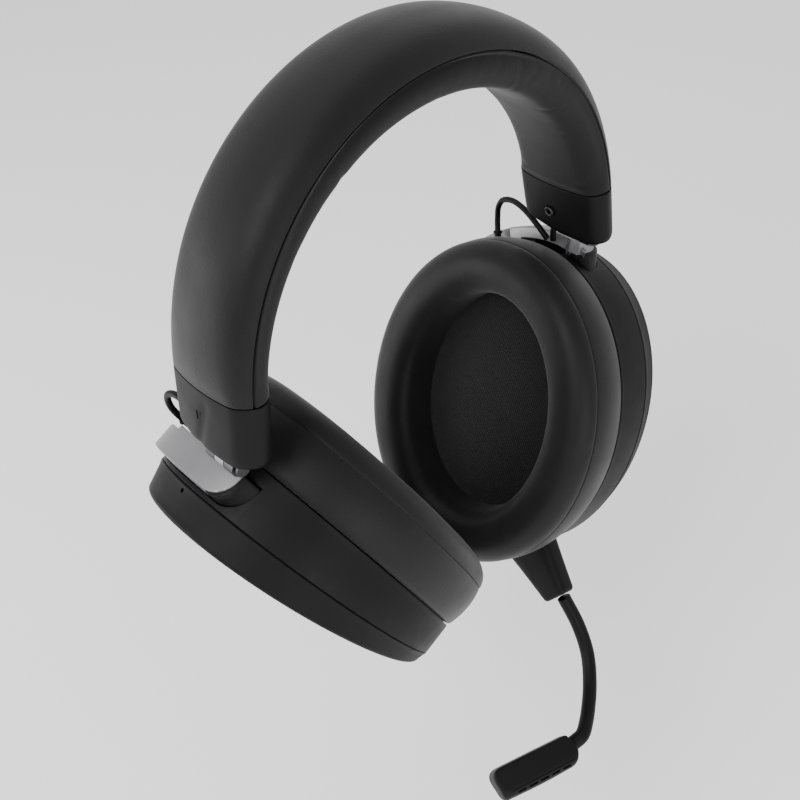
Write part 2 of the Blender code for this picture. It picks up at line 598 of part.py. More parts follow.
def volume_wheel(shell, side, frame):
    """Knurled wheel whose rim stands proud of the shell through a slot."""
    place, inward = wall_frame(VOLUME_TURN, CONTROL_OUT)
    centre = place + inward * (VOLUME_RADIUS - VOLUME_PROUD)
    half = VOLUME_WIDTH / 2
    slot = rod_mesh(VOLUME_RADIUS + 0.0006, centre - Vector((half + GAP, 0, 0)),
                    centre + Vector((half + GAP, 0, 0)), 32)
    boolean(shell, add_mesh("cut_volume_wheel", slot, None, frame, side))
    rings = []
    for out, rim in ((-half, -0.0004), (GAP - half, 0), (half - GAP, 0), (half, -0.0004)):
        ring = []
        for k in range(2 * VOLUME_TEETH):
            radius = VOLUME_RADIUS + rim - TOOTH_DEPTH * (k % 2)
            angle = math.tau * k / (2 * VOLUME_TEETH)
            ring.append((out, radius * math.cos(angle), radius * math.sin(angle)))
        rings.append(ring)
    hub = add_empty("volume_hub", (side * centre.x, centre.y, centre.z), 0, frame)
    wheel = add_mesh("volume_wheel", loft_mesh(rings), "plastic", hub, side)
    bore = rod_mesh(VOLUME_AXLE + BORE_FIT, (-half - OVERCUT, 0, 0), (half + OVERCUT, 0, 0), 20)
    boolean(wheel, add_mesh("cut_volume_bore", bore, None, hub, side))
    axle = rod_mesh(VOLUME_AXLE, (-half - GAP, 0, 0), (half + 0.0010, 0, 0), 20)
    add_mesh("volume_axle", axle, "steel", hub, side)


def charge_port(shell, side, frame):
    """Rounded metal socket behind a slot low at the back of the shell."""
    place, inward = wall_frame(PORT_TURN, CONTROL_OUT - 0.0006)
    out = Vector((1, 0, 0))
    turn = Matrix((out, inward.cross(out), inward)).transposed().to_4x4()

    def pill(width, height, start, end):
        ring = []
        for k in range(20):
            angle = math.tau * (k + 0.5) / 20
            shift = math.copysign((width - height) / 2, math.cos(angle))
            ring.append((height / 2 * math.sin(angle), shift + height / 2 * math.cos(angle)))
        bm = loft_mesh([[(x, y, z) for x, y in ring] for z in (start, end)])
        bmesh.ops.transform(bm, matrix=Matrix.Translation(place) @ turn, verts=bm.verts)
        return bm

    window = pill(PORT_WIDTH + 2 * GAP, PORT_HEIGHT + 2 * GAP, -0.003, 0.006)
    boolean(shell, add_mesh("cut_port_window", window, None, frame, side))
    block = pill(PORT_WIDTH, PORT_HEIGHT, 0.0004, PORT_DEPTH)
    socket = add_mesh("charge_port", block, "steel", frame, side)
    mouth = pill(PORT_WIDTH - 0.0008, PORT_HEIGHT - 0.0008, -OVERCUT, PORT_DEPTH - 0.0008)
    boolean(socket, add_mesh("cut_port_mouth", mouth, None, frame, side))


def board_and_battery(left, right):
    """Circuit board behind the left driver and the battery behind the right one."""
    back = BAFFLE_DEPTH + DRIVER_DEPTH + 2 * GAP
    slab = box_mesh((back, -BOARD_WIDTH / 2, -BOARD_HEIGHT / 2),
                    (back + BOARD_DEPTH, BOARD_WIDTH / 2, BOARD_HEIGHT / 2))
    board = add_mesh("circuit_board", slab, "board", left)
    bevel(board, 0.0004, 1)
    cell = box_mesh((back, -BATTERY_WIDTH / 2, 0.001 - BATTERY_HEIGHT / 2),
                    (back + BATTERY_DEPTH, BATTERY_WIDTH / 2, 0.001 + BATTERY_HEIGHT / 2))
    battery = add_mesh("battery", cell, "battery", right, -1)
    bevel(battery, 0.0010, 2)


# ---------------------------------------------------------------- leads and microphone

def leads(name, side, shell, end_frame, cup_frame):
    """Lead from inside the end cap, down beside the hinge and round a slack loop into the cup."""
    to_end = end_frame.matrix_world.inverted() @ cup_frame.matrix_world
    turn_point = Vector((LEAD_OUT, *LEAD_TURN))
    foot = to_end @ Vector((side * turn_point.x, turn_point.y, turn_point.z))
    foot.x *= side
    upper = [(LEAD_IN_CAP, LEAD_Y, height) for height in (LEAD_TOP, 0.0, -0.0100, -0.0165)]
    upper += [(blend(LEAD_IN_CAP, foot.x, 0.7), LEAD_Y, blend(-0.0165, foot.z, 0.6)), tuple(foot)]
    add_tube("lead_upper_" + name, smooth_route(upper, 3), LEAD_RADIUS, "rubber", end_frame, side)
    loop = [(LEAD_OUT, *point) for point in LEAD_LOOP]
    add_tube("lead_loop_" + name, smooth_route(loop, 3), LEAD_RADIUS, "rubber", cup_frame, side)
    end, before = Vector(loop[-1]), Vector(loop[-2])
    into = (end - before).normalized()
    hole = rod_mesh(GROMMET_RADIUS + GAP, end - into * 0.003, end + into * 0.009, 16)
    boolean(shell, add_mesh("cut_lead_hole_" + name, hole, None, cup_frame, side))
    grommet = rod_mesh(GROMMET_RADIUS, end + into * GAP, end + into * GROMMET_LENGTH, 16, GROMMET_TIP)
    add_mesh("lead_grommet_" + name, grommet, "rubber", cup_frame, side)


def microphone(shell, cup_frame):
    """Jack plug, boot, bent boom and capsule, which pull out of the left cup together."""
    along = Vector((BOOT_FLARE, -math.cos(BOOT_ANGLE), -math.sin(BOOT_ANGLE))).normalized()
    across = Vector((0, -math.sin(BOOT_ANGLE), math.cos(BOOT_ANGLE)))
    base = Vector((BOOT_OUT, BOOT_Y, BOOT_Z))
    frame = add_empty("mic_mouth", base, 0, cup_frame)
    rings = []
    for share, trim in ((-0.40, 0), (0.0, 0), (0.35, 0), (0.95, 0), (1.0, 0.0005)):
        taper = max(0.0, share) ** 0.9
        width, depth = blend(*BOOT_WIDTH, taper) / 2 - trim, blend(*BOOT_DEPTH, taper) / 2 - trim
        ring = []
        for k in range(20):
            angle = math.tau * (k + 0.5) / 20
            square = [math.copysign(abs(part) ** 0.5, part) for part in (math.cos(angle), math.sin(angle))]
            ring.append(along * BOOT_LENGTH * share + Vector((depth * square[0], 0, 0))
                        + across * width * square[1])
        rings.append(ring)
    boot = add_mesh("mic_boot", loft_mesh(rings), "rubber", frame)
    cup_side = [[(out, *oval(-GAP, turn)) for turn in turns()] for out in (-0.010, 0.025)]
    boolean(boot, add_mesh("cut_boot_base", loft_mesh(cup_side), None, cup_frame))
    plug_hole = rod_mesh(PLUG_RADIUS + GAP, -along * 0.010, along * 0.0040, 20)
    boolean(boot, add_mesh("cut_boot_plug", plug_hole, None, frame))
    add_mesh("mic_plug", rod_mesh(PLUG_RADIUS, -along * PLUG_LENGTH, along * 0.0037, 20), "steel", frame)
    window = rod_mesh(0.0023, -along * 0.008, along * 0.004, 20)
    boolean(shell, add_mesh("cut_mic_window", window, None, frame))
    sleeve = rod_mesh(SOCKET_RADIUS, -along * SOCKET_SPAN[1], -along * SOCKET_SPAN[0], 20)
    socket = add_mesh("mic_socket", sleeve, "plastic", frame)
    bore = rod_mesh(PLUG_RADIUS + GAP, -along * (PLUG_LENGTH + GAP), along * OVERCUT, 20)
    boolean(socket, add_mesh("cut_mic_socket", bore, None, frame))
    add_tube("mic_boom", smooth_route(BOOM_ROUTE, 4), BOOM_RADIUS, "rubber")
    mic_capsule()


def mic_capsule():
    seat = add_empty("mic_capsule_seat", CAPSULE_MIDDLE, 0)
    seat.rotation_euler = (CAPSULE_TILT, 0, CAPSULE_TURN)
    bpy.context.view_layer.update()
    half = [length / 2 for length in CAPSULE_SIZE]
    capsule = add_mesh("mic_capsule", box_mesh([-h for h in half], half), "plastic", seat)
    bevel(capsule, 0.0026, 4)
    face = -half[1]
    end, deep = GRILLE_LENGTH / 2, GRILLE_DEPTH
    recess_box = box_mesh((-end, face - OVERCUT, -deep), (end, face + deep, deep))
    boolean(capsule, add_mesh("cut_capsule_face", recess_box, None, seat))
    plate = box_mesh((GAP - end, face + 0.0002, GAP - deep), (end - GAP, face + deep - GAP, deep - GAP))
    grille = add_mesh("mic_grille", plate, "steel", seat)
    width, height = GRILLE_SLOT
    for k in range(GRILLE_SLOTS):
        middle = (k - (GRILLE_SLOTS - 1) / 2) * GRILLE_PITCH
        slot = box_mesh((middle - width / 2, face - OVERCUT, -height / 2),
                        (middle + width / 2, face + 0.003, height / 2))
        boolean(grille, add_mesh("cut_grille_{}".format(k), slot, None, seat))


# ---------------------------------------------------------------- the whole headset

def build_side(name, side):
    end_frame = add_empty("band_end_" + name, (side * SEAM_X, 0, SEAM_Z), -side * END_LEAN)
    hinge_place = Vector((side * HINGE_X, 0, SEAM_Z - HINGE_DROP))
    hinge_frame = add_empty("tilt_axis_" + name, hinge_place, side * TILT[name])
    cup_frame = add_empty("cup_middle_" + name, (-side * HINGE_OUT, CUP_Y, -HINGE_UP), 0, hinge_frame)
    hinge = end_frame.matrix_world.inverted() @ hinge_place
    end_cap(name, side, end_frame)
    slider(name, side, end_frame, Vector((side * hinge.x, 0, hinge.z)))
    shell = cup_shell(name, side, cup_frame)
    cup_cover(name, side, cup_frame)
    ear_cushion(name, side, cup_frame)
    cup_inside(name, side, cup_frame)
    yoke(name, side, cup_frame)
    leads(name, side, shell, end_frame, cup_frame)
    return shell, cup_frame


clear_scene()
PARTS = make_collection("gaming_headset")
CUTTERS = make_collection("cutters")
MATERIALS = {name: make_material(name) for name in COLOURS}
headband()
left_shell, left_cup = build_side("left", 1)
right_shell, right_cup = build_side("right", -1)
volume_wheel(left_shell, 1, left_cup)
push_button("mute_button", left_shell, MUTE_TURN, 1, left_cup)
microphone(left_shell, left_cup)
push_button("power_button", right_shell, POWER_TURN, -1, right_cup)
charge_port(right_shell, -1, right_cup)
board_and_battery(left_cup, right_cup)
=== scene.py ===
"""Looks for the wireless gaming headset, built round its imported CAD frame.

Everything is in metres in the row frame: +X the wearer's left, +Y the back, +Z up, with the origin
where the crown of the head meets the band's pad. A cup's own frame sits in the middle of its rim
plane, with X outwards along the cup's axis and Z up. The right side is the left side turned round
in X.
"""
import json
import math

import bmesh
import bpy
from mathutils import Matrix, Vector, noise


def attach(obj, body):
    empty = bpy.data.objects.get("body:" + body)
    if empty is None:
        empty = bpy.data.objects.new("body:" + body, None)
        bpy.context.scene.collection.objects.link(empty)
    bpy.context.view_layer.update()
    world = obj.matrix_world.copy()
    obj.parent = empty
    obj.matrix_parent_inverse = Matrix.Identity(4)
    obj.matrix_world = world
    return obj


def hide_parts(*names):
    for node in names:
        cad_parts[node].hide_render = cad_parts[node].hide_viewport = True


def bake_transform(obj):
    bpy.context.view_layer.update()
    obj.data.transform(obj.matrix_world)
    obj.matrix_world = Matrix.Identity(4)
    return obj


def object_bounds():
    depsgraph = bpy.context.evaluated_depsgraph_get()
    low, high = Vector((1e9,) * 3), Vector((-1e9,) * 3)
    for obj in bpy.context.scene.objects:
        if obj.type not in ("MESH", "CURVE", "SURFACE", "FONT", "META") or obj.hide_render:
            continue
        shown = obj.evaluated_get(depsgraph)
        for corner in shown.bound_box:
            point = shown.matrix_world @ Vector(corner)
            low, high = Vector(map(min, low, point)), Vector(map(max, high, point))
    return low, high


GAP = 0.0003                         # clearance between parts that fit in one another

# Camera
CAMERA_AZIMUTH, CAMERA_ELEVATION = math.radians(39.48), math.radians(38.28)
CAMERA_ROLL = math.radians(-5.52)
CAMERA_DISTANCE, CAMERA_TARGET = 0.2913, Vector((-0.0068, 0.0, -0.0726))
CAMERA_LENS, CAMERA_SHIFT_Y = 48.03, -0.0631

# Headband, as in the CAD model
ARCH_RADIUS, ARCH_NARROWING, ARCH_FLATNESS = 0.06696, 0.035, -0.003
ARCH_END = math.radians(80.6)
BAND_WIDTH = (0.0316, 0.0296)
BAND_DEPTH = (0.0086, 0.0132)
COVER_CORNER, COVER_CROWN = 0.0050, 0.0025
PAD_CORNER, PAD_CROWN = 0.0043, 0.0020
SEAM_SHARE = 0.67
CHANNEL_HALF = 0.0086
SPRING_OUT = 0.0040
CAP_LENGTH, CAP_SKIRT = 0.0160, 0.0024
CAP_SCREW_HEIGHT, CAP_SCREW_ACROSS = -0.0098, 0.0014
SLIDER_EDGES, SLIDER_DEPTH, SLIDER_OUT = (-0.0080, 0.0038), 0.0016, -0.0005
HINGE_X, HINGE_DROP = 0.0660, 0.0210
KNUCKLE_Y, KNUCKLE_RADIUS, PIN_RADIUS = (-0.0080, 0.0030), 0.0025, 0.0011

# Ear cups, as in the CAD model
CUP_A, CUP_B, CUP_Y = 0.0434, 0.0522, 0.0049
HINGE_OUT, HINGE_UP = 0.0034, 0.0597
TILT = {"left": math.radians(22.7), "right": math.radians(25.4)}
CREASE_OUT, CREASE_SLOPE = 0.0114, 0.07
EDGE_OUT, EDGE_SLOPE = 0.0172, 0.145
SHELL_WALL = 0.0020
COVER_TAPER = 0.27                   # how far the cover's wall leans in for its height
RECESS_DEPTH = 0.0038
YOKE_IN, YOKE_OUT, YOKE_TOP = 0.0044, 0.0134, 0.0041
YOKE_START, YOKE_END = math.radians(-13.6), math.radians(60)
YOKE_CORNER, YOKE_EDGE = 0.0078, 0.0004     # the arm's front corner in plan, and the rounding of its edge
COLLAR_START, COLLAR_END = math.radians(-18.6), math.radians(-4)
COLLAR_CORNER, COLLAR_SLANT = 0.0088, 0.0050
YOKE_STEP = math.radians(24)         # where the arm's inner edge steps in at its foot
BRIDGE = (math.radians(-7), math.radians(21))   # stretch in which the arm stands clear of the shell
CONTROL_OUT = 0.0055
VOLUME_TURN, MUTE_TURN = math.radians(112), math.radians(138)
POWER_TURN, PORT_TURN = math.radians(118), math.radians(148)
VENT_TURN, VENT_OUT, VENT_RADIUS = math.radians(5.5), 0.0168, 0.0006

# Microphone and leads, as in the CAD model
BOOT_PLACE = Vector((0.0058, -0.0220, -0.0453))
BOOT_ANGLE, BOOT_FLARE, BOOT_LENGTH = math.radians(36), 0.05, 0.0193
BOOT_WIDTH, BOOT_DEPTH = (0.0184, 0.0096), (0.0092, 0.0074)
BOOM_RADIUS = 0.0023
BOOM_ROUTE = [(0.0254, -0.0333, -0.1790), (0.0251, -0.0400, -0.1874), (0.0226, -0.0462, -0.1944),
              (0.0170, -0.0520, -0.1989), (0.0102, -0.0570, -0.2004), (0.0048, -0.0603, -0.2005)]
BOOM_ROOT = [(0.0014, -0.0617, -0.2007), (-0.0014, -0.0614, -0.2013), (-0.0046, -0.0606, -0.2022)]
CAPSULE_MIDDLE = (-0.0160, -0.0568, -0.2002)
CAPSULE_SIZE = (0.0296, 0.0126, 0.0080)
CAPSULE_TURN, CAPSULE_TILT = math.radians(-17), math.radians(30)
CAPSULE_FACE_EDGE, CAPSULE_BELLY, CAPSULE_ROUNDING = 0.0041, 0.0027, 0.0007
LEAD_RADIUS, LEAD_OUT, LEAD_Y, LEAD_TOP = 0.00095, 0.0016, 0.0051, 0.0180
LEAD_TURN = (0.0000, 0.0545)
LEAD_LOOP = [(0.0016, 0.0022, 0.0542), (0.0009, 0.0060, 0.0567), (0.0001, 0.0116, 0.0598),
             (-0.0005, 0.0158, 0.0612), (-0.0003, 0.0192, 0.0610), (0.0006, 0.0222, 0.0596),
             (0.0017, 0.0238, 0.0568), (0.0026, 0.0239, 0.0538), (0.0029, 0.0232, 0.0508),
             (0.0029, 0.0222, 0.0482)]
GROMMET_RADIUS = 0.0013

# Looks
SHINE = 0.13                         # specular level of every piece that isn't metal
LEATHER_GRAIN, PLASTIC_GRAIN = 0.00065, 0.00028
KNIT = 0.0007                        # spacing of the ear screen's knit
BAND_STEPS = 150                     # rings along the band's skins
BAND_END_STEPS = (0.0020, 0.0050)    # radians from each end to the extra rings that keep it crisp
HALF_POINTS = 22                     # points in one side of a skin's section, from its seam to its middle
TUCKED = 3                           # the first of them, which lie turned in at the seam
ARC_STEPS = 10                       # spans round a corner of the band's section
CUSHION_TURNS = 180
FLOOR_DROP = 0.070                   # pale floor, below the microphone in every pose
SIM_SCALE = 10.0                     # cloth is simulated larger than life, where the solver is steady
SIM_FRAMES = 14
SIM_PRESSURE = 30.0
COVER_CAP, PAD_CAP, CUSHION_CAP = 0.0006, 0.0004, 0.0007     # the furthest that each skin may swell
SIDES = (("left", 1), ("right", -1))

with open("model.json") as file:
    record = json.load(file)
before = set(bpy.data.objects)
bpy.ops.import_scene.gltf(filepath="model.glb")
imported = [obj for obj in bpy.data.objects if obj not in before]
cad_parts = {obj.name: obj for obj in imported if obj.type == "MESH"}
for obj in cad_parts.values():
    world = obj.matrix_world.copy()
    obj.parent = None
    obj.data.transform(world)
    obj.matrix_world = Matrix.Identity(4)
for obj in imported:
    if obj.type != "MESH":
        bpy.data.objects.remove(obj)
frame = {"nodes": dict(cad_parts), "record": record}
cad_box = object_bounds()


# ---------------------------------------------------------------- camera, light and floor

def add_camera():
    cos_e = math.cos(CAMERA_ELEVATION)
    back = Vector((-math.sin(CAMERA_AZIMUTH) * cos_e, -math.cos(CAMERA_AZIMUTH) * cos_e,
                   math.sin(CAMERA_ELEVATION)))
    right = Vector((math.cos(CAMERA_AZIMUTH), -math.sin(CAMERA_AZIMUTH), 0))
    up = back.cross(right)
    rolled_right = right * math.cos(CAMERA_ROLL) + up * math.sin(CAMERA_ROLL)
    rolled_up = up * math.cos(CAMERA_ROLL) - right * math.sin(CAMERA_ROLL)
    camera = bpy.data.objects.new("camera", bpy.data.cameras.new("camera"))
    axes = Matrix((rolled_right, rolled_up, back)).transposed().to_4x4()
    camera.matrix_world = Matrix.Translation(CAMERA_TARGET + back * CAMERA_DISTANCE) @ axes
    camera.data.lens = CAMERA_LENS
    camera.data.shift_y = CAMERA_SHIFT_Y
    camera.data.clip_start = 0.01
    bpy.context.scene.collection.objects.link(camera)
    bpy.context.scene.camera = camera


def add_softbox(name, place, size, power, target=(0, 0, -0.10)):
    light = bpy.data.lights.new(name, "AREA")
    light.shape = "RECTANGLE"
    light.size, light.size_y = size
    light.energy = power
    lamp = bpy.data.objects.new(name, light)
    lamp.location = place
    lamp.rotation_euler = (Vector(target) - Vector(place)).to_track_quat("-Z", "Y").to_euler()
    bpy.context.scene.collection.objects.link(lamp)


def add_studio():
    world = bpy.data.worlds.new("studio")
    world.use_nodes = True
    sky = world.node_tree.nodes["Background"]
    sky.inputs["Color"].default_value = (1.0, 1.0, 1.0, 1.0)
    sky.inputs["Strength"].default_value = 1.10
    bpy.context.scene.world = world
    add_softbox("key_light", (-0.60, -0.10, 0.45), (0.45, 0.45), 5.0)
    add_softbox("top_light", (-0.10, 0.25, 0.75), (0.7, 0.5), 1.5)
    add_softbox("rear_light", (-0.66, 0.60, -0.10), (0.4, 0.4), 3.5)
    add_softbox("front_light", (-0.30, -0.75, 0.00), (0.5, 0.4), 2.5)
    low = cad_box[0][2] - FLOOR_DROP
    bm = bmesh.new()
    bmesh.ops.create_grid(bm, x_segments=1, y_segments=1, size=6.0)
    bmesh.ops.translate(bm, vec=(0, 0, low), verts=bm.verts)
    mesh = bpy.data.meshes.new("floor")
    bm.to_mesh(mesh)
    bm.free()
    floor = bpy.data.objects.new("floor", mesh)
    pale = bpy.data.materials.new("pale_floor")
    pale.use_nodes = True
    shader = pale.node_tree.nodes["Principled BSDF"]
    shader.inputs["Base Color"].default_value = (0.97, 0.97, 0.97, 1)
    shader.inputs["Roughness"].default_value = 0.9
    mesh.materials.append(pale)
    bpy.context.scene.collection.objects.link(floor)


# ---------------------------------------------------------------- materials

class Shader:
    """One Principled material and short calls for the nodes that feed it."""

    def __init__(self, name, colour, roughness, metallic=0.0):
        self.material = bpy.data.materials.new(name)
        self.material.use_nodes = True
        self.tree = self.material.node_tree
        self.surface = self.tree.nodes["Principled BSDF"]
        self.surface.inputs["Base Color"].default_value = (*colour, 1)
        self.surface.inputs["Roughness"].default_value = roughness
        self.surface.inputs["Metallic"].default_value = metallic
        self.surface.inputs["Specular IOR Level"].default_value = 0.5 if metallic else SHINE
        self.place = self.node("ShaderNodeTexCoord").outputs["Object"]

    def feed(self, socket, value):
        if isinstance(value, bpy.types.NodeSocket):
            self.tree.links.new(value, socket)
        else:
            socket.default_value = value

    def node(self, kind, **inputs):
        made = self.tree.nodes.new(kind)
        for key, value in inputs.items():
            self.feed(made.inputs[key.replace("_", " ")], value)
        return made

    def link(self, output, name):
        self.tree.links.new(output, self.surface.inputs[name])

    def noise(self, size, detail=3.0, roughness=0.55):
        """Soft noise whose features are about size metres across."""
        made = self.node("ShaderNodeTexNoise", Vector=self.place, Scale=1 / size, Detail=detail,
                         Roughness=roughness)
        return made.outputs["Fac"]

    def cells(self, size):
        """Rounded cells about size metres across."""
        made = self.node("ShaderNodeTexVoronoi", Vector=self.place, Scale=1 / size)
        made.feature = "SMOOTH_F1"
        made.inputs["Smoothness"].default_value = 0.6
        return made.outputs["Distance"]

    def fit(self, value, low, high, from_low=0.3, from_high=0.7):
        made = self.node("ShaderNodeMapRange", Value=value)
        made.inputs["From Min"].default_value = from_low
        made.inputs["From Max"].default_value = from_high
        made.inputs["To Min"].default_value = low
        made.inputs["To Max"].default_value = high
        return made.outputs["Result"]

    def maths(self, operation, a, b):
        made = self.tree.nodes.new("ShaderNodeMath")
        made.operation = operation
        for socket, value in zip(made.inputs, (a, b)):
            self.feed(socket, value)
        return made.outputs["Value"]

    def mix(self, share, dark, light):
        made = self.tree.nodes.new("ShaderNodeMix")
        made.data_type = "RGBA"
        for key, value in (("Factor", share), ("A", dark), ("B", light)):
            self.feed(made.inputs[key], value)
        return made.outputs["Result"]

    def tint(self, share, colour, dark, light):
        """Colour the surface from dark to light times colour by share."""
        self.link(self.mix(share, shade(colour, dark), shade(colour, light)), "Base Color")

    def gloss(self, share, roughness, below, above):
        self.link(self.fit(share, roughness - below, roughness + above), "Roughness")

    def bump(self, heights):
        """Chain (height, depth in metres, strength) bumps into the surface's normal."""
        normal = None
        for height, depth, strength in heights:
            made = self.node("ShaderNodeBump", Height=height, Distance=depth, Strength=strength)
            if normal is not None:
                self.tree.links.new(normal, made.inputs["Normal"])
            normal = made.outputs["Normal"]
        self.link(normal, "Normal")

    def worn_edges(self):
        """Near 1 on sharp outer edges, 0 elsewhere, broken up by noise."""
        edge = self.node("ShaderNodeNewGeometry").outputs["Pointiness"]
        sharp = self.fit(edge, 0, 1, 0.515, 0.56)
        return self.maths("MULTIPLY", sharp, self.fit(self.noise(0.002), 0.3, 1))


def shade(colour, factor):
    return (*(part * factor for part in colour), 1)


def leatherette(name, colour, roughness):
    shader = Shader(name, colour, roughness)
    blotch = shader.noise(0.012, 4)
    pores = shader.cells(LEATHER_GRAIN)
    tone = shader.maths("ADD", shader.fit(blotch, 0, 0.7), shader.fit(pores, 0.3, -0.1, 0.1, 0.6))
    shader.tint(tone, colour, 0.82, 1.16)
    shader.gloss(blotch, roughness, 0.05, 0.06)
    shader.surface.inputs["Sheen Weight"].default_value = 0.10
    shader.surface.inputs["Sheen Roughness"].default_value = 0.5
    shader.bump([(shader.noise(0.005, 2), 0.00016, 0.16), (pores, 0.00007, 0.32)])
    return shader.material


def moulded_plastic(name, colour, roughness):
    shader = Shader(name, colour, roughness)
    blotch = shader.noise(0.010, 4)
    worn = shader.worn_edges()
    body = shader.mix(shader.fit(blotch, 0, 1), shade(colour, 0.92), shade(colour, 1.08))
    shader.link(shader.mix(worn, body, shade(colour, 2.0)), "Base Color")
    shader.link(shader.maths("SUBTRACT", shader.fit(blotch, roughness - 0.04, roughness + 0.05),
                             shader.maths("MULTIPLY", worn, 0.12)), "Roughness")
    shader.bump([(shader.noise(PLASTIC_GRAIN, 2, 0.7), 0.00004, 0.35)])
    return shader.material


def blasted_aluminium(name, colour, roughness):
    shader = Shader(name, colour, roughness, 0.55)
    blotch = shader.noise(0.008, 4)
    worn = shader.worn_edges()
    shader.tint(shader.maths("ADD", shader.fit(blotch, 0, 0.5), worn), colour, 0.94, 1.12)
    shader.gloss(blotch, roughness, 0.03, 0.04)
    shader.bump([(shader.noise(0.00022, 2, 0.7), 0.00003, 0.4)])
    return shader.material


def machined_steel(name, colour, roughness):
    shader = Shader(name, colour, roughness, 1.0)
    lines = shader.noise(0.0008, 5, 0.8)
    shader.tint(shader.fit(lines, 0, 1), colour, 0.85, 1.1)
    shader.gloss(lines, roughness, 0.05, 0.08)
    shader.bump([(lines, 0.00002, 0.3)])
    return shader.material


def soft_rubber(name, colour, roughness):
    shader = Shader(name, colour, roughness)
    blotch = shader.noise(0.006, 3)
    shader.tint(shader.fit(blotch, 0, 1), colour, 0.9, 1.15)
    shader.gloss(blotch, roughness, 0.05, 0.05)
    shader.bump([(shader.noise(0.0004, 2), 0.00003, 0.3)])
    return shader.material


def knitted_cloth(name, colour, tilt):
    """Fine knit lying in a cup's plane, with rows along and across the cup."""
    shader = Shader(name, colour, 0.95)
    turned = shader.node("ShaderNodeMapping", Vector=shader.place)
    turned.inputs["Rotation"].default_value = (0, -tilt, 0)
    waves = []
    for direction in ("Y", "Z"):
        wave = shader.node("ShaderNodeTexWave", Vector=turned.outputs["Vector"],
                           Scale=2 * math.pi / 20 / KNIT, Distortion=0.25)
        wave.bands_direction = direction
        waves.append(wave.outputs["Fac"])
    weave = shader.maths("MULTIPLY", *waves)
    shader.tint(weave, colour, 0.45, 1.25)
    shader.surface.inputs["Sheen Weight"].default_value = 0.25
    shader.bump([(shader.noise(0.006, 2), 0.0003, 0.3), (weave, 0.00015, 0.7)])
    return shader.material


def solder_mask(name, colour):
    shader = Shader(name, colour, 0.35)
    tracks = shader.node("ShaderNodeTexBrick", Vector=shader.place, Scale=300.0, Color1=shade(colour, 0.8),
                         Color2=shade(colour, 1.2), Mortar=(0.25, 0.20, 0.08, 1))
    shader.link(tracks.outputs["Color"], "Base Color")
    shader.bump([(tracks.outputs["Fac"], 0.0001, 0.3)])
    return shader.material


BLACK = (0.0024, 0.0024, 0.0025)
MATERIALS = {name: make(name, *look) for make, name, *look in (
    (leatherette, "band_leatherette", (0.0036, 0.0036, 0.0037), 0.50),
    (leatherette, "band_pad_leatherette", (0.0028, 0.0028, 0.0029), 0.60),
    (leatherette, "cushion_leatherette", (0.0050, 0.0050, 0.0052), 0.48),
    (moulded_plastic, "black_plastic", BLACK, 0.50),
    (moulded_plastic, "soft_touch_cover", BLACK, 0.55),
    (blasted_aluminium, "satin_aluminium", (0.20, 0.20, 0.207), 0.40),
    (machined_steel, "steel", (0.45, 0.45, 0.46), 0.30),
    (machined_steel, "black_steel", (0.06, 0.06, 0.065), 0.38),
    (soft_rubber, "soft_rubber", (0.0026, 0.0026, 0.0027), 0.50),
    (soft_rubber, "lead_rubber", (0.0022, 0.0022, 0.0023), 0.45),
    (knitted_cloth, "ear_cloth_left", (0.0055, 0.0055, 0.0057), TILT["left"]),
    (knitted_cloth, "ear_cloth_right", (0.0055, 0.0055, 0.0057), -TILT["right"]),
    (solder_mask, "circuit_board", (0.02, 0.12, 0.06)),
    (moulded_plastic, "battery_foil", (0.25, 0.26, 0.28), 0.4),
)}


# ---------------------------------------------------------------- mesh helpers

def to_piece(name, bm, body, nodes, slot, look=None, smooth=35):
    """Turn bm into a piece on a body that stands for CAD nodes."""
    bmesh.ops.recalc_face_normals(bm, faces=bm.faces)
    mesh = bpy.data.meshes.new(name)
    bm.to_mesh(mesh)
    bm.free()
    mesh.shade_smooth()
    mesh.set_sharp_from_angle(angle=math.radians(smooth))
    piece = bpy.data.objects.new(name, mesh)
    bpy.context.scene.collection.objects.link(piece)
    mesh.materials.append(MATERIALS[look or slot])
    if body is not None:
        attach(piece, body)
    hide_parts(*nodes)
    return piece


def loft(rings, closed=False):
    """Skin over rings of points, closed into a ring itself or capped at both ends."""
    bm = bmesh.new()
    loops = [[bm.verts.new(point) for point in ring] for ring in rings]
    following = loops[1:] + loops[:1] if closed else loops[1:]
    for ring, after in zip(loops, following):
        for i in range(len(ring)):
            j = (i + 1) % len(ring)
            bm.faces.new((ring[i], ring[j], after[j], after[i]))
    if not closed:
        bm.faces.new(loops[0])
        bm.faces.new(loops[-1])
    return bm


def rod(radius, start, end, sides=32):
    start, end = Vector(start), Vector(end)
    bm = bmesh.new()
    bmesh.ops.create_cone(bm, cap_ends=True, segments=sides, radius1=radius, radius2=radius,
                          depth=(end - start).length)
    turn = (end - start).to_track_quat("Z", "Y").to_matrix().to_4x4()
    bmesh.ops.transform(bm, matrix=Matrix.Translation((start + end) / 2) @ turn, verts=bm.verts)
    return bm


def box(low, high):
    bm = bmesh.new()
    bmesh.ops.create_cube(bm, size=1.0)
    bmesh.ops.scale(bm, vec=[h - l for l, h in zip(low, high)], verts=bm.verts)
    bmesh.ops.translate(bm, vec=[(h + l) / 2 for l, h in zip(low, high)], verts=bm.verts)
    return bm


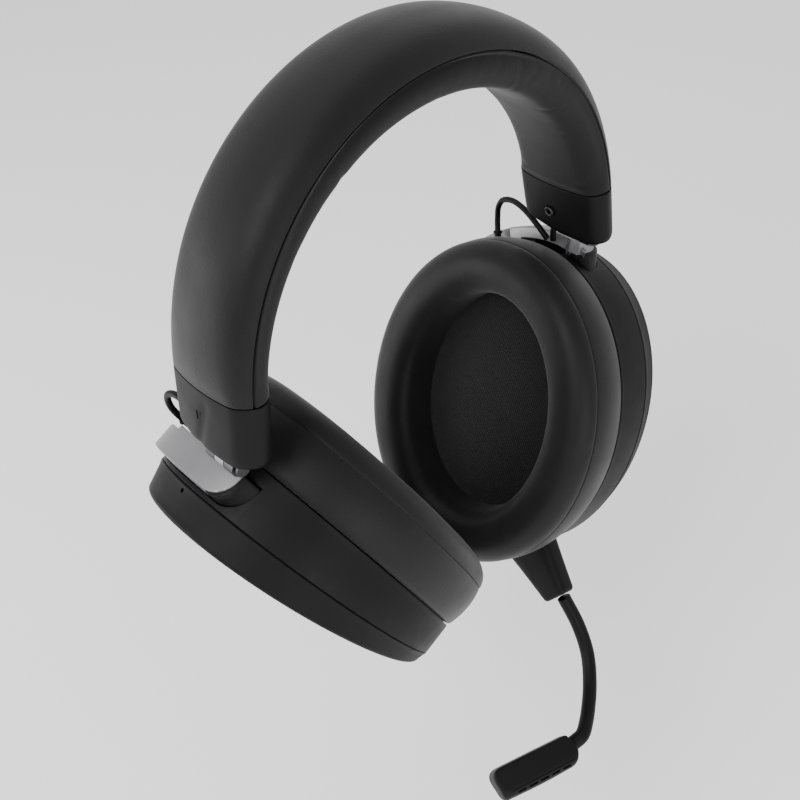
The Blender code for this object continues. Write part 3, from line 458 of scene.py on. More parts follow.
def combine(bm, other, place, operation="DIFFERENCE"):
    """Cut bm with another closed mesh, or join the two, by an exact Boolean; both meshes are used up."""
    objects = []
    for mesh_data in (bm, other):
        if mesh_data is other:
            bmesh.ops.transform(mesh_data, matrix=place, verts=mesh_data.verts)
        bmesh.ops.recalc_face_normals(mesh_data, faces=mesh_data.faces)
        mesh = bpy.data.meshes.new("boolean")
        mesh_data.to_mesh(mesh)
        mesh_data.free()
        made = bpy.data.objects.new("boolean", mesh)
        bpy.context.scene.collection.objects.link(made)
        objects.append(made)
    modifier = objects[0].modifiers.new("Boolean", "BOOLEAN")
    modifier.operation = operation
    modifier.object = objects[1]
    modifier.solver = "EXACT"
    graph = bpy.context.evaluated_depsgraph_get()
    result = bmesh.new()
    result.from_mesh(objects[0].evaluated_get(graph).to_mesh())
    for made in objects:
        bpy.data.objects.remove(made, do_unlink=True)
    return result


def cut_all(bm, cutters, place):
    for cutter in cutters:
        bm = combine(bm, cutter, place)
    return bm


def smooth_route(points, per_span):
    """Catmull-Rom curve through the points."""
    points = [Vector(p) for p in points]
    padded = [2 * points[0] - points[1]] + points + [2 * points[-1] - points[-2]]
    route = []
    for a, b, c, d in zip(padded, padded[1:], padded[2:], padded[3:]):
        for k in range(per_span):
            t = k / per_span
            route.append(0.5 * (2 * b + (c - a) * t + (2 * a - 5 * b + 4 * c - d) * t * t
                                + (3 * b - a - 3 * c + d) * t ** 3))
    return route + [points[-1]]


def tube(route, radius, sides):
    """Closed tube along a route."""
    rings = []
    side = None
    for i, point in enumerate(route):
        before, after = route[max(i - 1, 0)], route[min(i + 1, len(route) - 1)]
        along = (after - before).normalized()
        if side is None:
            side = along.orthogonal()
        side = (side - along * side.dot(along)).normalized()
        other = along.cross(side)
        rings.append([point + side * (radius * math.cos(a)) + other * (radius * math.sin(a))
                      for a in [math.tau * k / sides for k in range(sides)]])
    return loft(rings)


def blend_value(low, high, share):
    return low + (high - low) * share


def ease(value):
    value = max(0.0, min(1.0, value))
    return value * value * (3 - 2 * value)


def inflate(piece, held, cap):
    """Puff a closed skin with a pressure cloth simulation; no point moves more than cap."""
    group = piece.vertex_groups.new(name="held")
    group.add(held, 1.0, "REPLACE")
    start = [vertex.co.copy() for vertex in piece.data.vertices]
    piece.data.transform(Matrix.Scale(SIM_SCALE, 4))
    cloth = piece.modifiers.new("Cloth", "CLOTH")
    settings = cloth.settings
    settings.quality = 5
    settings.mass = 0.15
    settings.tension_stiffness = settings.compression_stiffness = 12
    settings.shear_stiffness = 5
    settings.bending_stiffness = 0.4
    settings.use_pressure = True
    settings.uniform_pressure_force = SIM_PRESSURE
    settings.vertex_group_mass = group.name
    settings.effector_weights.gravity = 0
    cloth.collision_settings.use_collision = False
    cloth.point_cache.frame_start, cloth.point_cache.frame_end = 1, SIM_FRAMES
    for number in range(1, SIM_FRAMES + 1):
        bpy.context.scene.frame_set(number)
    graph = bpy.context.evaluated_depsgraph_get()
    puffed = [vertex.co / SIM_SCALE for vertex in piece.evaluated_get(graph).data.vertices]
    piece.modifiers.clear()
    piece.vertex_groups.clear()
    for vertex, was, now in zip(piece.data.vertices, start, puffed):
        move = now - was
        vertex.co = was + move * min(1.0, cap / max(move.length, 1e-9))
    bpy.context.scene.frame_set(1)


def subdivide(piece):
    modifier = piece.modifiers.new("Subdivision", "SUBSURF")
    modifier.levels = modifier.render_levels = 1


# ---------------------------------------------------------------- headband

def arch_radius(angle):
    ripple = ARCH_NARROWING * (math.cos(2 * angle) - 1) + ARCH_FLATNESS * (math.cos(4 * angle) - 1)
    return ARCH_RADIUS * (1 + ripple)


CROWN_DROP = ARCH_RADIUS - BAND_DEPTH[1] / 2 - PAD_CROWN
SEAM_X = arch_radius(ARCH_END) * math.sin(ARCH_END)
SEAM_Z = arch_radius(ARCH_END) * math.cos(ARCH_END) - CROWN_DROP


def arch_point(angle):
    return Vector((arch_radius(angle) * math.sin(angle), 0,
                   arch_radius(angle) * math.cos(angle) - CROWN_DROP))


def arch_tangent(angle):
    step = 0.001
    return (arch_point(angle + step) - arch_point(angle - step)).normalized()


END_LEAN = math.atan2(arch_tangent(ARCH_END).x, -arch_tangent(ARCH_END).z)


def end_frame(side):
    """Frame at one end of the band: X out of the band, Y back, Z up along its end."""
    turn = Matrix.Rotation(-side * END_LEAN, 4, "Y")
    return Matrix.Translation((side * SEAM_X, 0, SEAM_Z)) @ turn @ Matrix.Scale(side, 4, (1, 0, 0))


def cup_frame(name, side):
    """Frame in the middle of a cup's rim plane: X outwards along its axis, Y back, Z up."""
    hinge = Matrix.Translation((side * HINGE_X, 0, SEAM_Z - HINGE_DROP))
    turn = Matrix.Rotation(side * TILT[name], 4, "Y")
    middle = Matrix.Translation((-side * HINGE_OUT, CUP_Y, -HINGE_UP))
    return hinge @ turn @ middle @ Matrix.Scale(side, 4, (1, 0, 0))


def band_size(angle):
    share = math.sin((1 - abs(angle) / ARCH_END) * math.pi / 2)
    width, depth = blend_value(*BAND_WIDTH, share) / 2, blend_value(*BAND_DEPTH, share) / 2
    return width, depth, (2 * SEAM_SHARE - 1) * depth


def half_outline(width, depth, corner, crown, seam, flats=6):
    """(across, out) points of one face's front half, from the side seam to the middle."""
    middle = Vector((corner - width, depth - corner))
    first = math.asin(max(-1.0, min(1.0, (seam - middle.y) / corner)))
    angles = [blend_value(first, math.pi / 2, k / ARC_STEPS) for k in range(ARC_STEPS + 1)]
    points = [middle + corner * Vector((-math.cos(a), math.sin(a))) for a in angles]
    if middle.y > seam:
        points = [Vector((-width, seam))] + points
    points += [Vector((points[-1].x * (1 - (k + 1) / (flats + 0.5)), depth)) for k in range(flats)]
    for point in points:
        point.y += crown * (1 - (point.x / width) ** 2) * max(0.0, min(1.0, point.y / depth)) ** 2
    return points


def band_ring(angle, outline):
    tangent = arch_tangent(angle)
    out = Vector((-tangent.z, 0, tangent.x))
    centre = arch_point(angle)
    return [centre + out * point.y + Vector((0, point.x, 0)) for point in outline]


def soft_half(width, depth, corner, crown, seam):
    """Section of a padded skin, in which the side edge turns in at the seam."""
    front = half_outline(width, depth, corner, crown, seam)
    tuck = 0.00035
    turned = [Vector((front[0].x + tuck * across, seam + tuck * out))
              for across, out in ((1.6, 0), (0.55, 0.10), (0.12, 0.5))]
    return turned + [point for point in front if point.y > seam + tuck]


def resample(points, count):
    """The same open outline with count points spaced evenly along it."""
    lengths = [0.0]
    for a, b in zip(points, points[1:]):
        lengths.append(lengths[-1] + (b - a).length)
    result = []
    k = 0
    for i in range(count):
        target = lengths[-1] * i / (count - 1)
        while k < len(points) - 2 and lengths[k + 1] < target:
            k += 1
        share = (target - lengths[k]) / max(lengths[k + 1] - lengths[k], 1e-9)
        result.append(points[k].lerp(points[k + 1], share))
    return result


def band_skin(name, node, slot, is_cover, cap):
    """Cover or pad: a soft skin over foam, flat where it lies on the band's core."""
    rings = []
    even = [ARCH_END * (2 * step / BAND_STEPS - 1) for step in range(BAND_STEPS + 1)]
    ends = [sign * (ARCH_END - gap) for gap in BAND_END_STEPS for sign in (-1, 1)]
    for angle in sorted(even + ends):
        width, depth, seam = band_size(angle)
        if is_cover:
            half = soft_half(width, depth, COVER_CORNER, COVER_CROWN, seam + 0.0001)
        else:
            half = soft_half(width - GAP, depth, PAD_CORNER, PAD_CROWN, 0.0004 - seam)
        half = half[:TUCKED] + resample(half[TUCKED:], HALF_POINTS - TUCKED)
        edge = half[0].y
        inner = [Vector((share * CHANNEL_HALF, edge + 0.0002))
                 for share in (1.4, 0.9, 0.45, 0, -0.45, -0.9, -1.4)]
        mirrored = [Vector((-p.x, p.y)) for p in reversed(half)]
        outline = half + mirrored + inner
        if not is_cover:
            outline = [Vector((p.x, -p.y)) for p in outline]
        rings.append(band_ring(angle, outline))
    piece = to_piece(name, loft(rings), "headband", [node], slot)
    ring, last, stiff = len(rings[0]), len(rings) - 1, 4
    held = []
    for step in range(last + 1):
        fixed = [*range(TUCKED), *range(2 * HALF_POINTS - TUCKED, ring)]
        if step < stiff or step > last - stiff:
            fixed = range(ring)
        held += [step * ring + k for k in fixed]
    inflate(piece, held, cap)
    subdivide(piece)


def add_band():
    band_skin("band_cover", "headband_cover", "band_leatherette", True, COVER_CAP)
    band_skin("band_pad", "headband_pad", "band_pad_leatherette", False, PAD_CAP)


def side_mark(side):
    """Small plain mark pressed into a cap: one short bar on the left, two on the right."""
    mark = bmesh.new()
    for shift in ((0.0,) if side > 0 else (-0.0007, 0.0007)):
        bar = box((0.0, shift - 0.0003, -0.0013), (0.0020, shift + 0.0003, 0.0013))
        mesh = bpy.data.meshes.new("bar")
        bar.to_mesh(mesh)
        bar.free()
        mark.from_mesh(mesh)
    return mark


CAP_SCREW_SECTION = [(0.0, 0.0007), (0.0, 0.0010), (-0.0002, 0.0012), (-0.0002, 0.0014),
                     (0.0, 0.0016), (0.0024, 0.0016), (0.0024, 0.0010), (0.0060, 0.0010),
                     (0.0060, 0.0001), (0.0012, 0.0001), (0.0012, 0.0007)]      # (along, radius)


def add_end_cap(name, side):
    """Moulded cap with a soft crease down its outer face, a pressed side mark and a screw inside."""
    place = end_frame(side)
    width, depth, seam = band_size(ARCH_END)
    outer = half_outline(width, depth, COVER_CORNER, COVER_CROWN, 0.0, flats=10)
    inner = half_outline(width, depth, PAD_CORNER, PAD_CROWN, 0.0, flats=10)
    outline = outer + [Vector((-p.x, p.y)) for p in reversed(outer)][:-1]
    outline += [Vector((-p.x, -p.y)) for p in inner]
    outline += [Vector((p.x, -p.y)) for p in reversed(inner)][:-1]
    rows = [(-0.0003, 0.985), (-0.00035, 0.994), (-0.0005, 0.9985), (-0.0008, 1.0)]
    rows += [(-0.0008 - 0.0130 * k / 12, 1.0 - 0.02 * (k / 12) ** 1.6) for k in range(1, 13)]
    rows += [(-0.0138 - 0.0022 * math.sin(a), 0.980 - 0.085 * (1 - math.cos(a)))
             for a in [math.radians(15 * k) for k in range(1, 7)]]
    rings = []
    for height, scale in rows:
        ring = []
        for point in outline:
            across, out = point.x * scale, point.y * scale
            skirt = CAP_SKIRT * ease((-height - 0.0080) / 0.0070) * (0.5 - across / (2 * width))
            if out > 0.002:
                dip = ease(1 - abs(across + 0.0015 + 0.35 * (height + 0.008)) / 0.0022)
                out -= 0.0004 * dip * ease((-height - 0.0015) / 0.004)
            ring.append((out, across, height - skirt))
        rings.append(ring)
    bm = loft(rings)
    bmesh.ops.transform(bm, matrix=place, verts=bm.verts)
    slot_low, slot_high = SLIDER_OUT - SLIDER_DEPTH / 2 - GAP, SLIDER_OUT + SLIDER_DEPTH / 2 + GAP
    spot = (CAP_SCREW_ACROSS, CAP_SCREW_HEIGHT)
    mark = side_mark(side)
    bmesh.ops.translate(mark, vec=(depth - 0.0003 + COVER_CROWN, 0, -0.0078), verts=mark.verts)
    bm = cut_all(bm, [
        box((slot_low, -CHANNEL_HALF, 0.0043 - CAP_LENGTH), (SPRING_OUT + 0.0008, CHANNEL_HALF, 0.001)),
        box((slot_low, SLIDER_EDGES[0] - GAP, -CAP_LENGTH - CAP_SKIRT),
            (slot_high, SLIDER_EDGES[1] + GAP, -0.001)),
        rod(LEAD_RADIUS + 0.0005, (0, LEAD_Y, -CAP_LENGTH - 0.001), (0, LEAD_Y, -0.004)),
        rod(0.0018, (-0.0085, *spot), (-0.0050, *spot)),
        rod(0.0011, (-0.0055, *spot), (0.0010, *spot)),
        mark], place)
    to_piece("cap_" + name, bm, "headband", ["end_cap_" + name], "black_plastic", smooth=30)
    rings = [[(along - 0.0070, spot[0] + radius * math.cos(a), spot[1] + radius * math.sin(a))
              for a in turns(36)] for along, radius in CAP_SCREW_SECTION]
    to_piece("cap_screw_" + name, loft(placed(rings, place), closed=True), "headband",
             ["end_cap_screw_" + name], "black_steel", smooth=30)


# ---------------------------------------------------------------- ear cups

def oval(inset, turn):
    """(across, up) on a cup's outline drawn in by inset; turn runs from the top towards the back."""
    return (CUP_A - inset) * math.sin(turn), (CUP_B - inset) * math.cos(turn)


def crease_out(up):
    """Where the seam between shell and cover lies along the cup's axis."""
    return CREASE_OUT + CREASE_SLOPE * up


def edge_out(up):
    return EDGE_OUT + EDGE_SLOPE * up


def centred(turn):
    return (turn + math.pi) % math.tau - math.pi


def recess(turn):
    """Depth of the shell's recess for the yoke at a turn."""
    turn = centred(turn)
    margin = math.radians(0.15)
    return RECESS_DEPTH if COLLAR_START - margin < turn < YOKE_END + margin else 0.0


def turns(count):
    return [math.tau * k / count for k in range(count)]


def shell_turns(count):
    """Even turns, with close pairs where the recess for the yoke starts and ends."""
    sides = [end + step for end, outward in ((COLLAR_START, -1), (YOKE_END, 1))
             for step in (outward * math.radians(0.13), outward * math.radians(0.20))]
    even = [turn for turn in turns(count) if all(abs(turn - (s % math.tau)) > 0.003 for s in sides)]
    return sorted(even + [turn % math.tau for turn in sides])


def rounded_outer(turn, start, corner):
    """Outer edge of the yoke or its collar, whose front corner is rounded in plan."""
    turn = centred(turn)
    edge = min(YOKE_OUT, crease_out(oval(0, turn)[1]) - 0.0013)
    left = max(0.0, 1 - max(0.0, turn - start) * CUP_B / corner)
    left = max(left, ease((turn - math.radians(90)) / math.radians(60)))
    return edge - corner * (1 - math.sqrt(1 - left ** 2))


def placed(rings, matrix):
    return [[matrix @ Vector(point) for point in ring] for ring in rings]


def wall_frame(turn, out):
    """A place on the shell's outer wall, and the direction into the cup there."""
    across, up = oval(0, turn)
    inward = Vector((0, -across / CUP_A ** 2, -up / CUP_B ** 2)).normalized()
    return Vector((out, across, up)), inward


def add_shell(name, side):
    matrix = cup_frame(name, side)
    rings = []
    for turn in shell_turns(300):
        dent = recess(turn)
        crease = crease_out(oval(0, turn)[1])
        near_side = YOKE_IN - 0.0003
        far_side = max(near_side + 0.0012, rounded_outer(turn, COLLAR_START, COLLAR_CORNER) + 0.0001)
        low = 0.0013 * bridge_share(turn)
        wall = dent + SHELL_WALL
        profile = [(0.0006, 0.0), (0.0002, 0.00005), (low * 0.5, 0.0003), (low, 0.0020),
                   (low, near_side - 0.0003),
                   (min(dent, low + 0.0003), near_side), (dent, near_side + 0.0003),
                   (dent, (near_side + far_side) / 2), (dent, far_side - 0.0003),
                   (min(dent, 0.0003), far_side), (0.0, far_side + 0.0003),
                   (0.0, crease - 0.0003), (0.00025, crease - 0.00004), (wall, crease - 0.00004),
                   (wall, 0.0)]
        rings.append([(out, *oval(inset, turn)) for inset, out in profile])
    bm = loft(placed(rings, matrix), closed=True)
    cutters = []
    lead_end = Vector(LEAD_LOOP[-1])
    into = (lead_end - Vector(LEAD_LOOP[-2])).normalized()
    cutters.append(rod(GROMMET_RADIUS - 0.0001, lead_end - into * 0.003, lead_end + into * 0.009))
    if name == "left":
        place, inward = wall_frame(VOLUME_TURN, CONTROL_OUT)
        centre, half = place + inward * 0.0061, Vector((0.0020, 0, 0))
        cutters.append(rod(0.0081, centre - half, centre + half, 48))
        along = mic_axis()
        cutters.append(rod(0.0023, BOOT_PLACE - along * 0.008, BOOT_PLACE + along * 0.004))
        button_turn = MUTE_TURN
    else:
        cutters.append(pill(PORT_TURN, 0.0096, 0.0040, -0.003, 0.006))
        button_turn = POWER_TURN
    place, inward = wall_frame(button_turn, CONTROL_OUT)
    cutters.append(rod(0.0024, place - inward * 0.002, place + inward * 0.004))
    bm = cut_all(bm, cutters, matrix)
    to_piece("shell_" + name, bm, "cup_" + name, ["cup_shell_" + name], "black_plastic", smooth=32)


def pill(turn, width, height, start, end):
    """Flat-sided round-ended cutter standing in the shell's wall."""
    place, inward = wall_frame(turn, CONTROL_OUT - 0.0006)
    out = Vector((1, 0, 0))
    axes = Matrix((out, inward.cross(out), inward)).transposed().to_4x4()
    ring = []
    for k in range(40):
        angle = math.tau * (k + 0.5) / 40
        shift = math.copysign((width - height) / 2, math.cos(angle))
        ring.append((height / 2 * math.sin(angle), shift + height / 2 * math.cos(angle)))
    bm = loft([[(x, y, z) for x, y in ring] for z in (start, end)])
    bmesh.ops.transform(bm, matrix=Matrix.Translation(place) @ axes, verts=bm.verts)
    return bm


def face_out(up):
    """Where the cover's face lies along the cup's axis; low on the cup it levels off softly."""
    slope, least = edge_out(up), crease_out(up) + 0.0033
    return (slope + least + math.hypot(slope - least, 0.0012)) / 2


def add_cover(name, side):
    """Outer cover with a rounded shoulder, a fine ring groove, and a vent hole on the right."""
    matrix = cup_frame(name, side)
    corner = 0.0013
    face = [(0.0042, 0.00012), (0.0060, 0.0004), (0.0090, 0.0008), (0.0112, 0.00100), (0.0115, 0.00080),
            (0.0120, 0.00074), (0.0125, 0.00082), (0.0128, 0.00112), (0.0160, 0.0013), (0.0220, 0.0015),
            (0.0290, 0.0015), (0.0340, 0.0015), (0.0380, 0.0015)]
    outer, inner = [], []
    for turn in turns(240):
        low = crease_out(oval(0, turn)[1])
        high = face_out(oval(COVER_TAPER * 0.0097, turn)[1])
        lean = COVER_TAPER * (high - low - corner)
        line = [(0.0003, low + 0.00004), (0.00005, low + 0.0002), (0.0, low + 0.0005)]
        line += [(lean * s, blend_value(low, high - corner, s)) for s in (0.25, 0.5, 0.75)]
        line += [(lean + corner * (1 - math.cos(a)), high - corner * (1 - math.sin(a)))
                 for a in [math.radians(10 * k) for k in range(10)]]
        line += [(inset, face_out(oval(inset, turn)[1]) + rise) for inset, rise in face]
        outer.append([(out, *oval(inset, turn)) for inset, out in line])
        line = [(0.0024 + recess(turn), low + 0.0003)]
        line += [(inset, face_out(oval(inset, turn)[1]) - 0.0010)
                 for inset in (0.0054, 0.0110, 0.0200, 0.0320)]
        inner.append([(out, *oval(inset, turn)) for inset, out in line])
    outer, inner = list(zip(*outer)), list(zip(*inner))
    bm = loft(placed(list(reversed(outer)) + inner, matrix))
    if name == "right":
        place, inward = wall_frame(VENT_TURN, VENT_OUT)
        bm = combine(bm, rod(VENT_RADIUS, place - inward * 0.002, place + inward * 0.0015), matrix)
    to_piece("cover_" + name, bm, "cup_" + name, ["cup_cover_" + name], "soft_touch_cover", smooth=28)


CUSHION_SECTION = [(0.0001, -0.0002), (-0.0003, -0.0008), (-0.0005, -0.0030), (-0.0009, -0.0070),
                   (-0.0011, -0.0105), (-0.0012, -0.0130), (-0.00115, -0.01355), (-0.0009, -0.01378),
                   (-0.0001, -0.01385), (-0.0009, -0.01392), (-0.0012, -0.01415), (-0.0012, -0.0148),
                   (-0.0008, -0.0162), (0.0004, -0.0179), (0.0024, -0.0194), (0.0050, -0.0204),
                   (0.0080, -0.0208), (0.0106, -0.0206), (0.0126, -0.0197), (0.0139, -0.0184),
                   (0.0146, -0.0167), (0.0149, -0.0145), (0.0150, -0.0110), (0.0150, -0.0070),
                   (0.0150, -0.0035), (0.0150, -0.0003), (0.0078, -0.0003)]      # (inset, out)
SEAM_POINTS = (7, 8, 9)              # the section's points that lie in the sewn seam


def add_cushion(name, side):
    """Foam ring under leatherette, sewn round its shoulder and held at its two foot edges."""
    matrix = cup_frame(name, side)
    rings = []
    for turn in turns(CUSHION_TURNS):
        ring = []
        for inset, out in CUSHION_SECTION:
            across, up = oval(inset, turn)
            drift = noise.noise(Vector((across, up, out)) * 60 + Vector((side * 7, 0, 0)))
            swell = 0.00018 * drift * ease((-out - 0.002) / 0.01)
            ring.append((out - swell, across, up))
        rings.append(ring)
    piece = to_piece("cushion_" + name, loft(placed(rings, matrix), closed=True), "cup_" + name,
                     ["ear_cushion_" + name], "cushion_leatherette", smooth=60)
    points = len(CUSHION_SECTION)
    fixed = (0, *SEAM_POINTS, points - 2, points - 1)
    held = [k * points + p for k in range(CUSHION_TURNS) for p in fixed]
    inflate(piece, held, CUSHION_CAP)
    subdivide(piece)


def add_screen(name, side):
    """Knitted screen stretched over the driver's opening, with a low dome."""
    matrix = cup_frame(name, side)
    a, b = CUP_A - 0.0153, CUP_B - 0.0153
    bm = bmesh.new()
    rows, count = 28, 120
    hub = bm.verts.new(matrix @ Vector((-0.0058, 0, 0)))
    previous = None
    for row in range(1, rows + 1):
        share = row / rows
        ring = []
        for turn in turns(count):
            across, up = a * share * math.sin(turn), b * share * math.cos(turn)
            out = -0.0052 - 0.0006 * (1 - share ** 2)
            ring.append(bm.verts.new(matrix @ Vector((out, across, up))))
        for i in range(count):
            j = (i + 1) % count
            if previous:
                bm.faces.new((previous[i], previous[j], ring[j], ring[i]))
            else:
                bm.faces.new((hub, ring[j], ring[i]))
        previous = ring
    piece = to_piece("screen_" + name, bm, "cup_" + name, ["ear_screen_" + name], "ear_cloth",
                     "ear_cloth_" + name)


def slanted_height(turn, out, start, corner, run):
    """Share of full height at a place on the strip, from 0 at its edge to 1 a run further in."""
    along = (turn - start) * CUP_B
    edge = min(YOKE_OUT, crease_out(oval(0, turn)[1]) - 0.0013)
    before, beyond = max(0.0, corner - along), max(0.0, out - (edge - corner))
    reach = math.hypot(before, beyond)
    facing = (before / reach) ** 2 if reach > 0 else 0.0
    inside = corner - reach if before and beyond else min(along, edge - out)
    slope = blend_value(YOKE_EDGE, run, facing if beyond else float(before > 0))
    share = max(0.0, min(1.0, inside / slope))
    return share if share < 0.8 else 1 - (1 - share) ** 2 / 0.4 - 0.1 * (1 - share) / 0.2


def bridge_share(turn):
    """1 where the yoke's arm stands clear of the shell, 0 where it lies on it."""
    turn = centred(turn)
    ramp = math.radians(2.5)
    return ease((turn - BRIDGE[0]) / ramp) * ease((BRIDGE[1] - turn) / ramp)


STRIP_SHARES = (0.0, 0.012, 0.035, 0.07, 0.15, 0.3, 0.45, 0.6, 0.7, 0.78, 0.85, 0.9, 0.94, 0.965,
                0.985, 1.0)          # section points from the strip's inner edge to its outer one


def strip_ring(turn, start, corner, run, top, floor):
    """Section of the yoke or its collar at one turn: top high over the shell, floor over or in it."""
    inner = YOKE_IN + 0.0012 * ease((turn - YOKE_STEP) / math.radians(0.5))
    outer = max(rounded_outer(turn, start, corner), inner + 0.0006)
    profile = [(-floor, inner)]
    for share in STRIP_SHARES:
        out = blend_value(inner, outer, share)
        roll = YOKE_EDGE * max(0.0, 1 - (out - inner) / YOKE_EDGE) ** 2
        height = blend_value(max(floor, 0.0), top, slanted_height(turn, out, start, corner, run))
        profile.append((-max(height - roll, floor + 0.0002), out))
    profile.append((-floor, outer))
    profile += [(-floor, blend_value(outer, inner, s)) for s in (0.3, 0.7)]
    return [(out, *oval(inset, turn)) for inset, out in profile]


def corner_turns(start, end, corner, steps):
    """Turns from start to end, close together round the corner."""
    close = [start + corner / CUP_B * (1 - math.cos(math.radians(d))) for d in range(3, 60, 3)]
    return sorted(close + [start + (end - start) * k / steps for k in range(steps + 1)])


def add_yoke(name, side):
    """Aluminium arm over the shell with its hinge eye, and the plastic collar round its foot."""
    matrix = cup_frame(name, side)
    angles = corner_turns(YOKE_START, YOKE_END, YOKE_CORNER, 110)
    angles += [YOKE_STEP + math.radians(d) for d in (0.02, 0.12, 0.25, 0.38, 0.5)]
    rings = []
    for turn in sorted(angles):
        clear = max(bridge_share(turn), ease((BRIDGE[0] - turn) / math.radians(0.5)))
        floor = blend_value(GAP - RECESS_DEPTH, 0.0006 if turn > BRIDGE[0] else 0.0020, clear)
        top = YOKE_TOP - 0.0030 * ease((turn - math.radians(50)) / math.radians(10))
        rings.append(strip_ring(turn, YOKE_START, YOKE_CORNER, YOKE_EDGE, top, floor))
    bm = loft(placed(rings, matrix))
    collar = [strip_ring(turn, COLLAR_START, COLLAR_CORNER, COLLAR_SLANT, YOKE_TOP - 0.0004,
                         GAP - RECESS_DEPTH)
              for turn in corner_turns(COLLAR_START, COLLAR_END, COLLAR_CORNER, 20)]
    to_piece("collar_" + name, loft(placed(collar, matrix)), "cup_" + name, [], "black_plastic",
             smooth=40)
    third = (KNUCKLE_Y[1] - KNUCKLE_Y[0] - 2 * GAP) / 3
    start = KNUCKLE_Y[0] + third + GAP - CUP_Y
    end = start + third
    stem = box((HINGE_OUT - 0.0008, start, CUP_B + 0.0008), (HINGE_OUT + 0.0020, end, HINGE_UP))
    root = box((HINGE_OUT - 0.0008, start, CUP_B + 0.0008), (YOKE_IN + 0.0010, end, CUP_B + 0.0032))
    eye = rod(KNUCKLE_RADIUS, (HINGE_OUT, start, HINGE_UP), (HINGE_OUT, end, HINGE_UP), 48)
    for piece in (stem, root, eye):
        bm = combine(bm, piece, matrix, "UNION")
    bore = rod(PIN_RADIUS + 0.0002, (HINGE_OUT, start - 0.002, HINGE_UP),
               (HINGE_OUT, end + 0.002, HINGE_UP))
    bm = combine(bm, bore, matrix)
    to_piece("bracket_" + name, bm, "cup_" + name, ["yoke_" + name], "satin_aluminium", smooth=30)


# ---------------------------------------------------------------- leads and microphone

def mic_axis():
    return Vector((BOOT_FLARE, -math.cos(BOOT_ANGLE), -math.sin(BOOT_ANGLE))).normalized()


def add_leads(name, side):
    """Lead beside the hinge, and the slack loop between slider and cup."""
    ends, cup = end_frame(side), cup_frame(name, side)
    foot = ends.inverted() @ cup @ Vector((LEAD_OUT, *LEAD_TURN))
    upper = [Vector((0, LEAD_Y, height)) for height in (LEAD_TOP, 0.0, -0.0100, -0.0165)]
    upper += [Vector((0.7 * foot.x, LEAD_Y, blend_value(-0.0165, foot.z, 0.6))), foot]
    route = smooth_route([ends @ point for point in upper], 8)
    to_piece("upper_lead_" + name, tube(route, LEAD_RADIUS, 24), "slider_" + name,
             ["lead_upper_" + name], "lead_rubber")
    loop = [cup @ Vector(point) for point in LEAD_LOOP]
    piece = to_piece("slack_lead_" + name, tube(smooth_route(loop, 10), LEAD_RADIUS, 24),
                     None, ["lead_loop_" + name], "lead_rubber")
    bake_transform(piece)
    into = (loop[-1] - loop[-2]).normalized()
    mouth = loop[-1] - into * 0.0012
    lip = [(0.0, LEAD_RADIUS + 0.0001), (0.0, GROMMET_RADIUS), (0.0004, GROMMET_RADIUS + 0.0002),
           (0.0009, GROMMET_RADIUS + 0.0002), (0.0010, GROMMET_RADIUS - 0.0002),
           (0.0030, GROMMET_RADIUS - 0.0002), (0.0030, LEAD_RADIUS + 0.0001)]
    side_way = into.orthogonal().normalized()
    other_way = into.cross(side_way)
    rings = [[mouth + into * along + (side_way * math.cos(a) + other_way * math.sin(a)) * radius
              for a in turns(28)] for along, radius in lip]
    to_piece("grommet_" + name, loft(rings, closed=True), "cup_" + name, ["lead_grommet_" + name],
             "soft_rubber")


def add_boot():
    """Rubber boot that tapers from the cup's wall to the boom."""
    matrix = cup_frame("left", 1)
    along = mic_axis()
    across = Vector((0, -math.sin(BOOT_ANGLE), math.cos(BOOT_ANGLE)))
    rings = []
    rounding = 0.06                  # last share of its length, where its end is rounded
    straight = 0.94
    shares = [-0.40 + 0.40 * k / 4 for k in range(4)] + [k / 24 * straight for k in range(25)]
    shares += [straight + rounding * math.sin(math.radians(d)) for d in (20, 40, 60, 75, 90)]
    for share in shares:
        taper = max(0.0, share) ** 0.9
        close = max(0.0, (share - straight) / rounding)
        trim = 0.0011 * (1 - math.sqrt(max(0.0, 1 - close ** 2)))
        width = blend_value(*BOOT_WIDTH, taper) / 2 - trim
        depth = blend_value(*BOOT_DEPTH, taper) / 2 - trim
        ring = []
        for k in range(64):
            angle = math.tau * (k + 0.5) / 64
            square = [math.copysign(abs(part) ** 0.5, part)
                      for part in (math.cos(angle), math.sin(angle))]
            ring.append(BOOT_PLACE + along * BOOT_LENGTH * share + Vector((depth * square[0], 0, 0))
                        + across * width * square[1])
        rings.append(ring)
    bm = loft(placed(rings, matrix))
    cup_side = loft([[(out, *oval(-GAP, turn)) for turn in turns(300)] for out in (-0.010, 0.025)])
    plug_bore = rod(0.00205, BOOT_PLACE - along * 0.010, BOOT_PLACE + along * 0.004)
    bm = cut_all(bm, [cup_side, plug_bore], matrix)
    to_piece("boot", bm, "microphone", ["mic_boot"], "soft_rubber", smooth=30)


def add_boom():
    route = smooth_route(BOOM_ROUTE + BOOM_ROOT, 16)
    to_piece("boom", tube(route, BOOM_RADIUS, 32), "microphone", ["mic_boom"], "soft_rubber")


def rounded_outline(corners):
    """Points round a flat outline of (x, y, reach) corners, each cut back by its reach and rounded."""
    points = []
    for before, corner, after in zip(corners[-1:] + corners[:-1], corners, corners[1:] + corners[:1]):
        middle = Vector(corner[:2])
        back, ahead = Vector(before[:2]) - middle, Vector(after[:2]) - middle
        start = middle + back.normalized() * min(corner[2], 0.48 * back.length)
        end = middle + ahead.normalized() * min(corner[2], 0.48 * ahead.length)
        for share in [k / 8 for k in range(9)]:
            points.append(start * (1 - share) ** 2 + middle * 2 * share * (1 - share) + end * share ** 2)
    return points


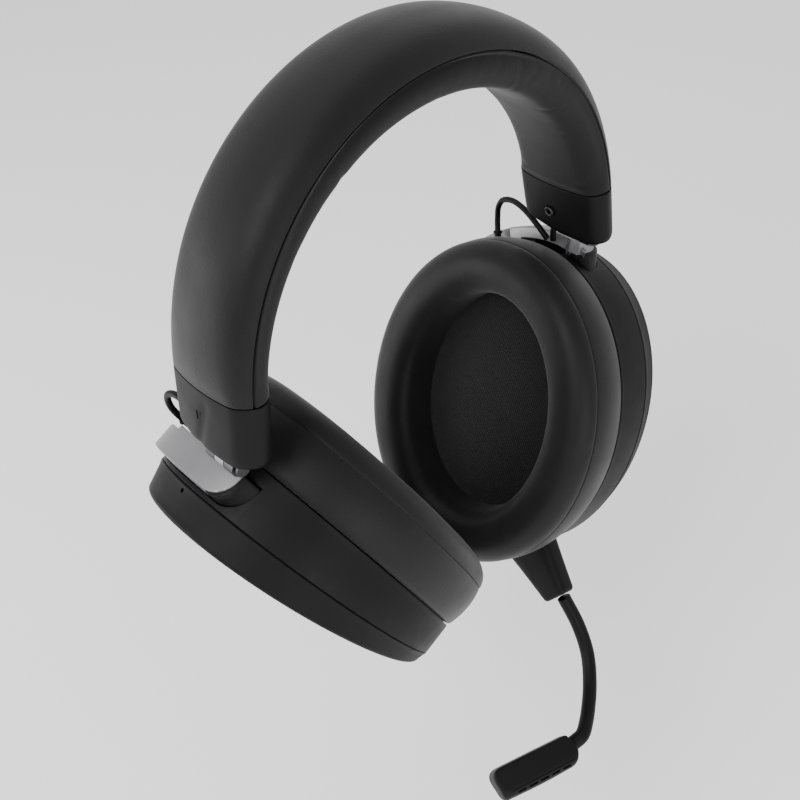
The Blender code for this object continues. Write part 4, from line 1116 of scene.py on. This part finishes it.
def add_capsule():
    """Flat-faced capsule whose front swells under the face, with a groove and a row of slots."""
    place = (Matrix.Translation(CAPSULE_MIDDLE) @ Matrix.Rotation(CAPSULE_TURN, 4, "Z")
             @ Matrix.Rotation(CAPSULE_TILT, 4, "X"))
    rings = []
    for k in range(25):
        angle = math.radians(90 - 7.5 * k)
        height = CAPSULE_SIZE[2] / 2 * math.sin(angle)
        front = -(CAPSULE_FACE_EDGE + CAPSULE_BELLY * math.cos(angle))
        inset = CAPSULE_ROUNDING * (1 - math.sqrt(1 - math.sin(angle) ** 8))
        corners = [(-0.0153, 0.0029, 0.0040), (0.0121, 0.0027, 0.0009), (0.0141, -0.0026, 0.0016),
                   (0.0124, front, 0.0026), (0.0, front - 0.0004, 0.0080), (-0.0139, front, 0.0014)]
        trimmed = [(x - math.copysign(inset, x) if x else 0.0, y - math.copysign(inset, y), reach)
                   for x, y, reach in corners]
        rings.append([(point.x, point.y, height) for point in rounded_outline(trimmed)])
    bm = loft(rings)
    bmesh.ops.transform(bm, matrix=place, verts=bm.verts)
    groove = box((-0.0112, -0.0050, 0.0034), (0.0112, -0.0047, 0.0050))
    slots = [box((middle - 0.0014, -0.0062, 0.0020), (middle + 0.0014, -0.0056, 0.0050))
             for middle in (-0.0080, -0.0040, 0.0, 0.0040, 0.0080)]
    bm = cut_all(bm, [groove, *slots], place)
    to_piece("capsule", bm, "microphone", ["mic_capsule"], "black_plastic", smooth=30)


def dress_cad_nodes():
    """Give each CAD node that stays its own procedural material."""
    for entry in frame["record"]["subparts"]:
        node, slot = frame["nodes"][entry["node"]], entry["material_slot"]
        if entry["node"].startswith(("slider", "tilt_pin")):
            slot = "black_steel"
        if slot == "ear_cloth":
            continue
        node.data.materials.clear()
        node.data.materials.append(MATERIALS[slot])


add_camera()
add_studio()
dress_cad_nodes()
for side_name, side_sign in SIDES:
    add_cushion(side_name, side_sign)
add_band()
for side_name, side_sign in SIDES:
    add_end_cap(side_name, side_sign)
    add_shell(side_name, side_sign)
    add_cover(side_name, side_sign)
    add_screen(side_name, side_sign)
    add_yoke(side_name, side_sign)
    add_leads(side_name, side_sign)
add_boot()
add_boom()
add_capsule()
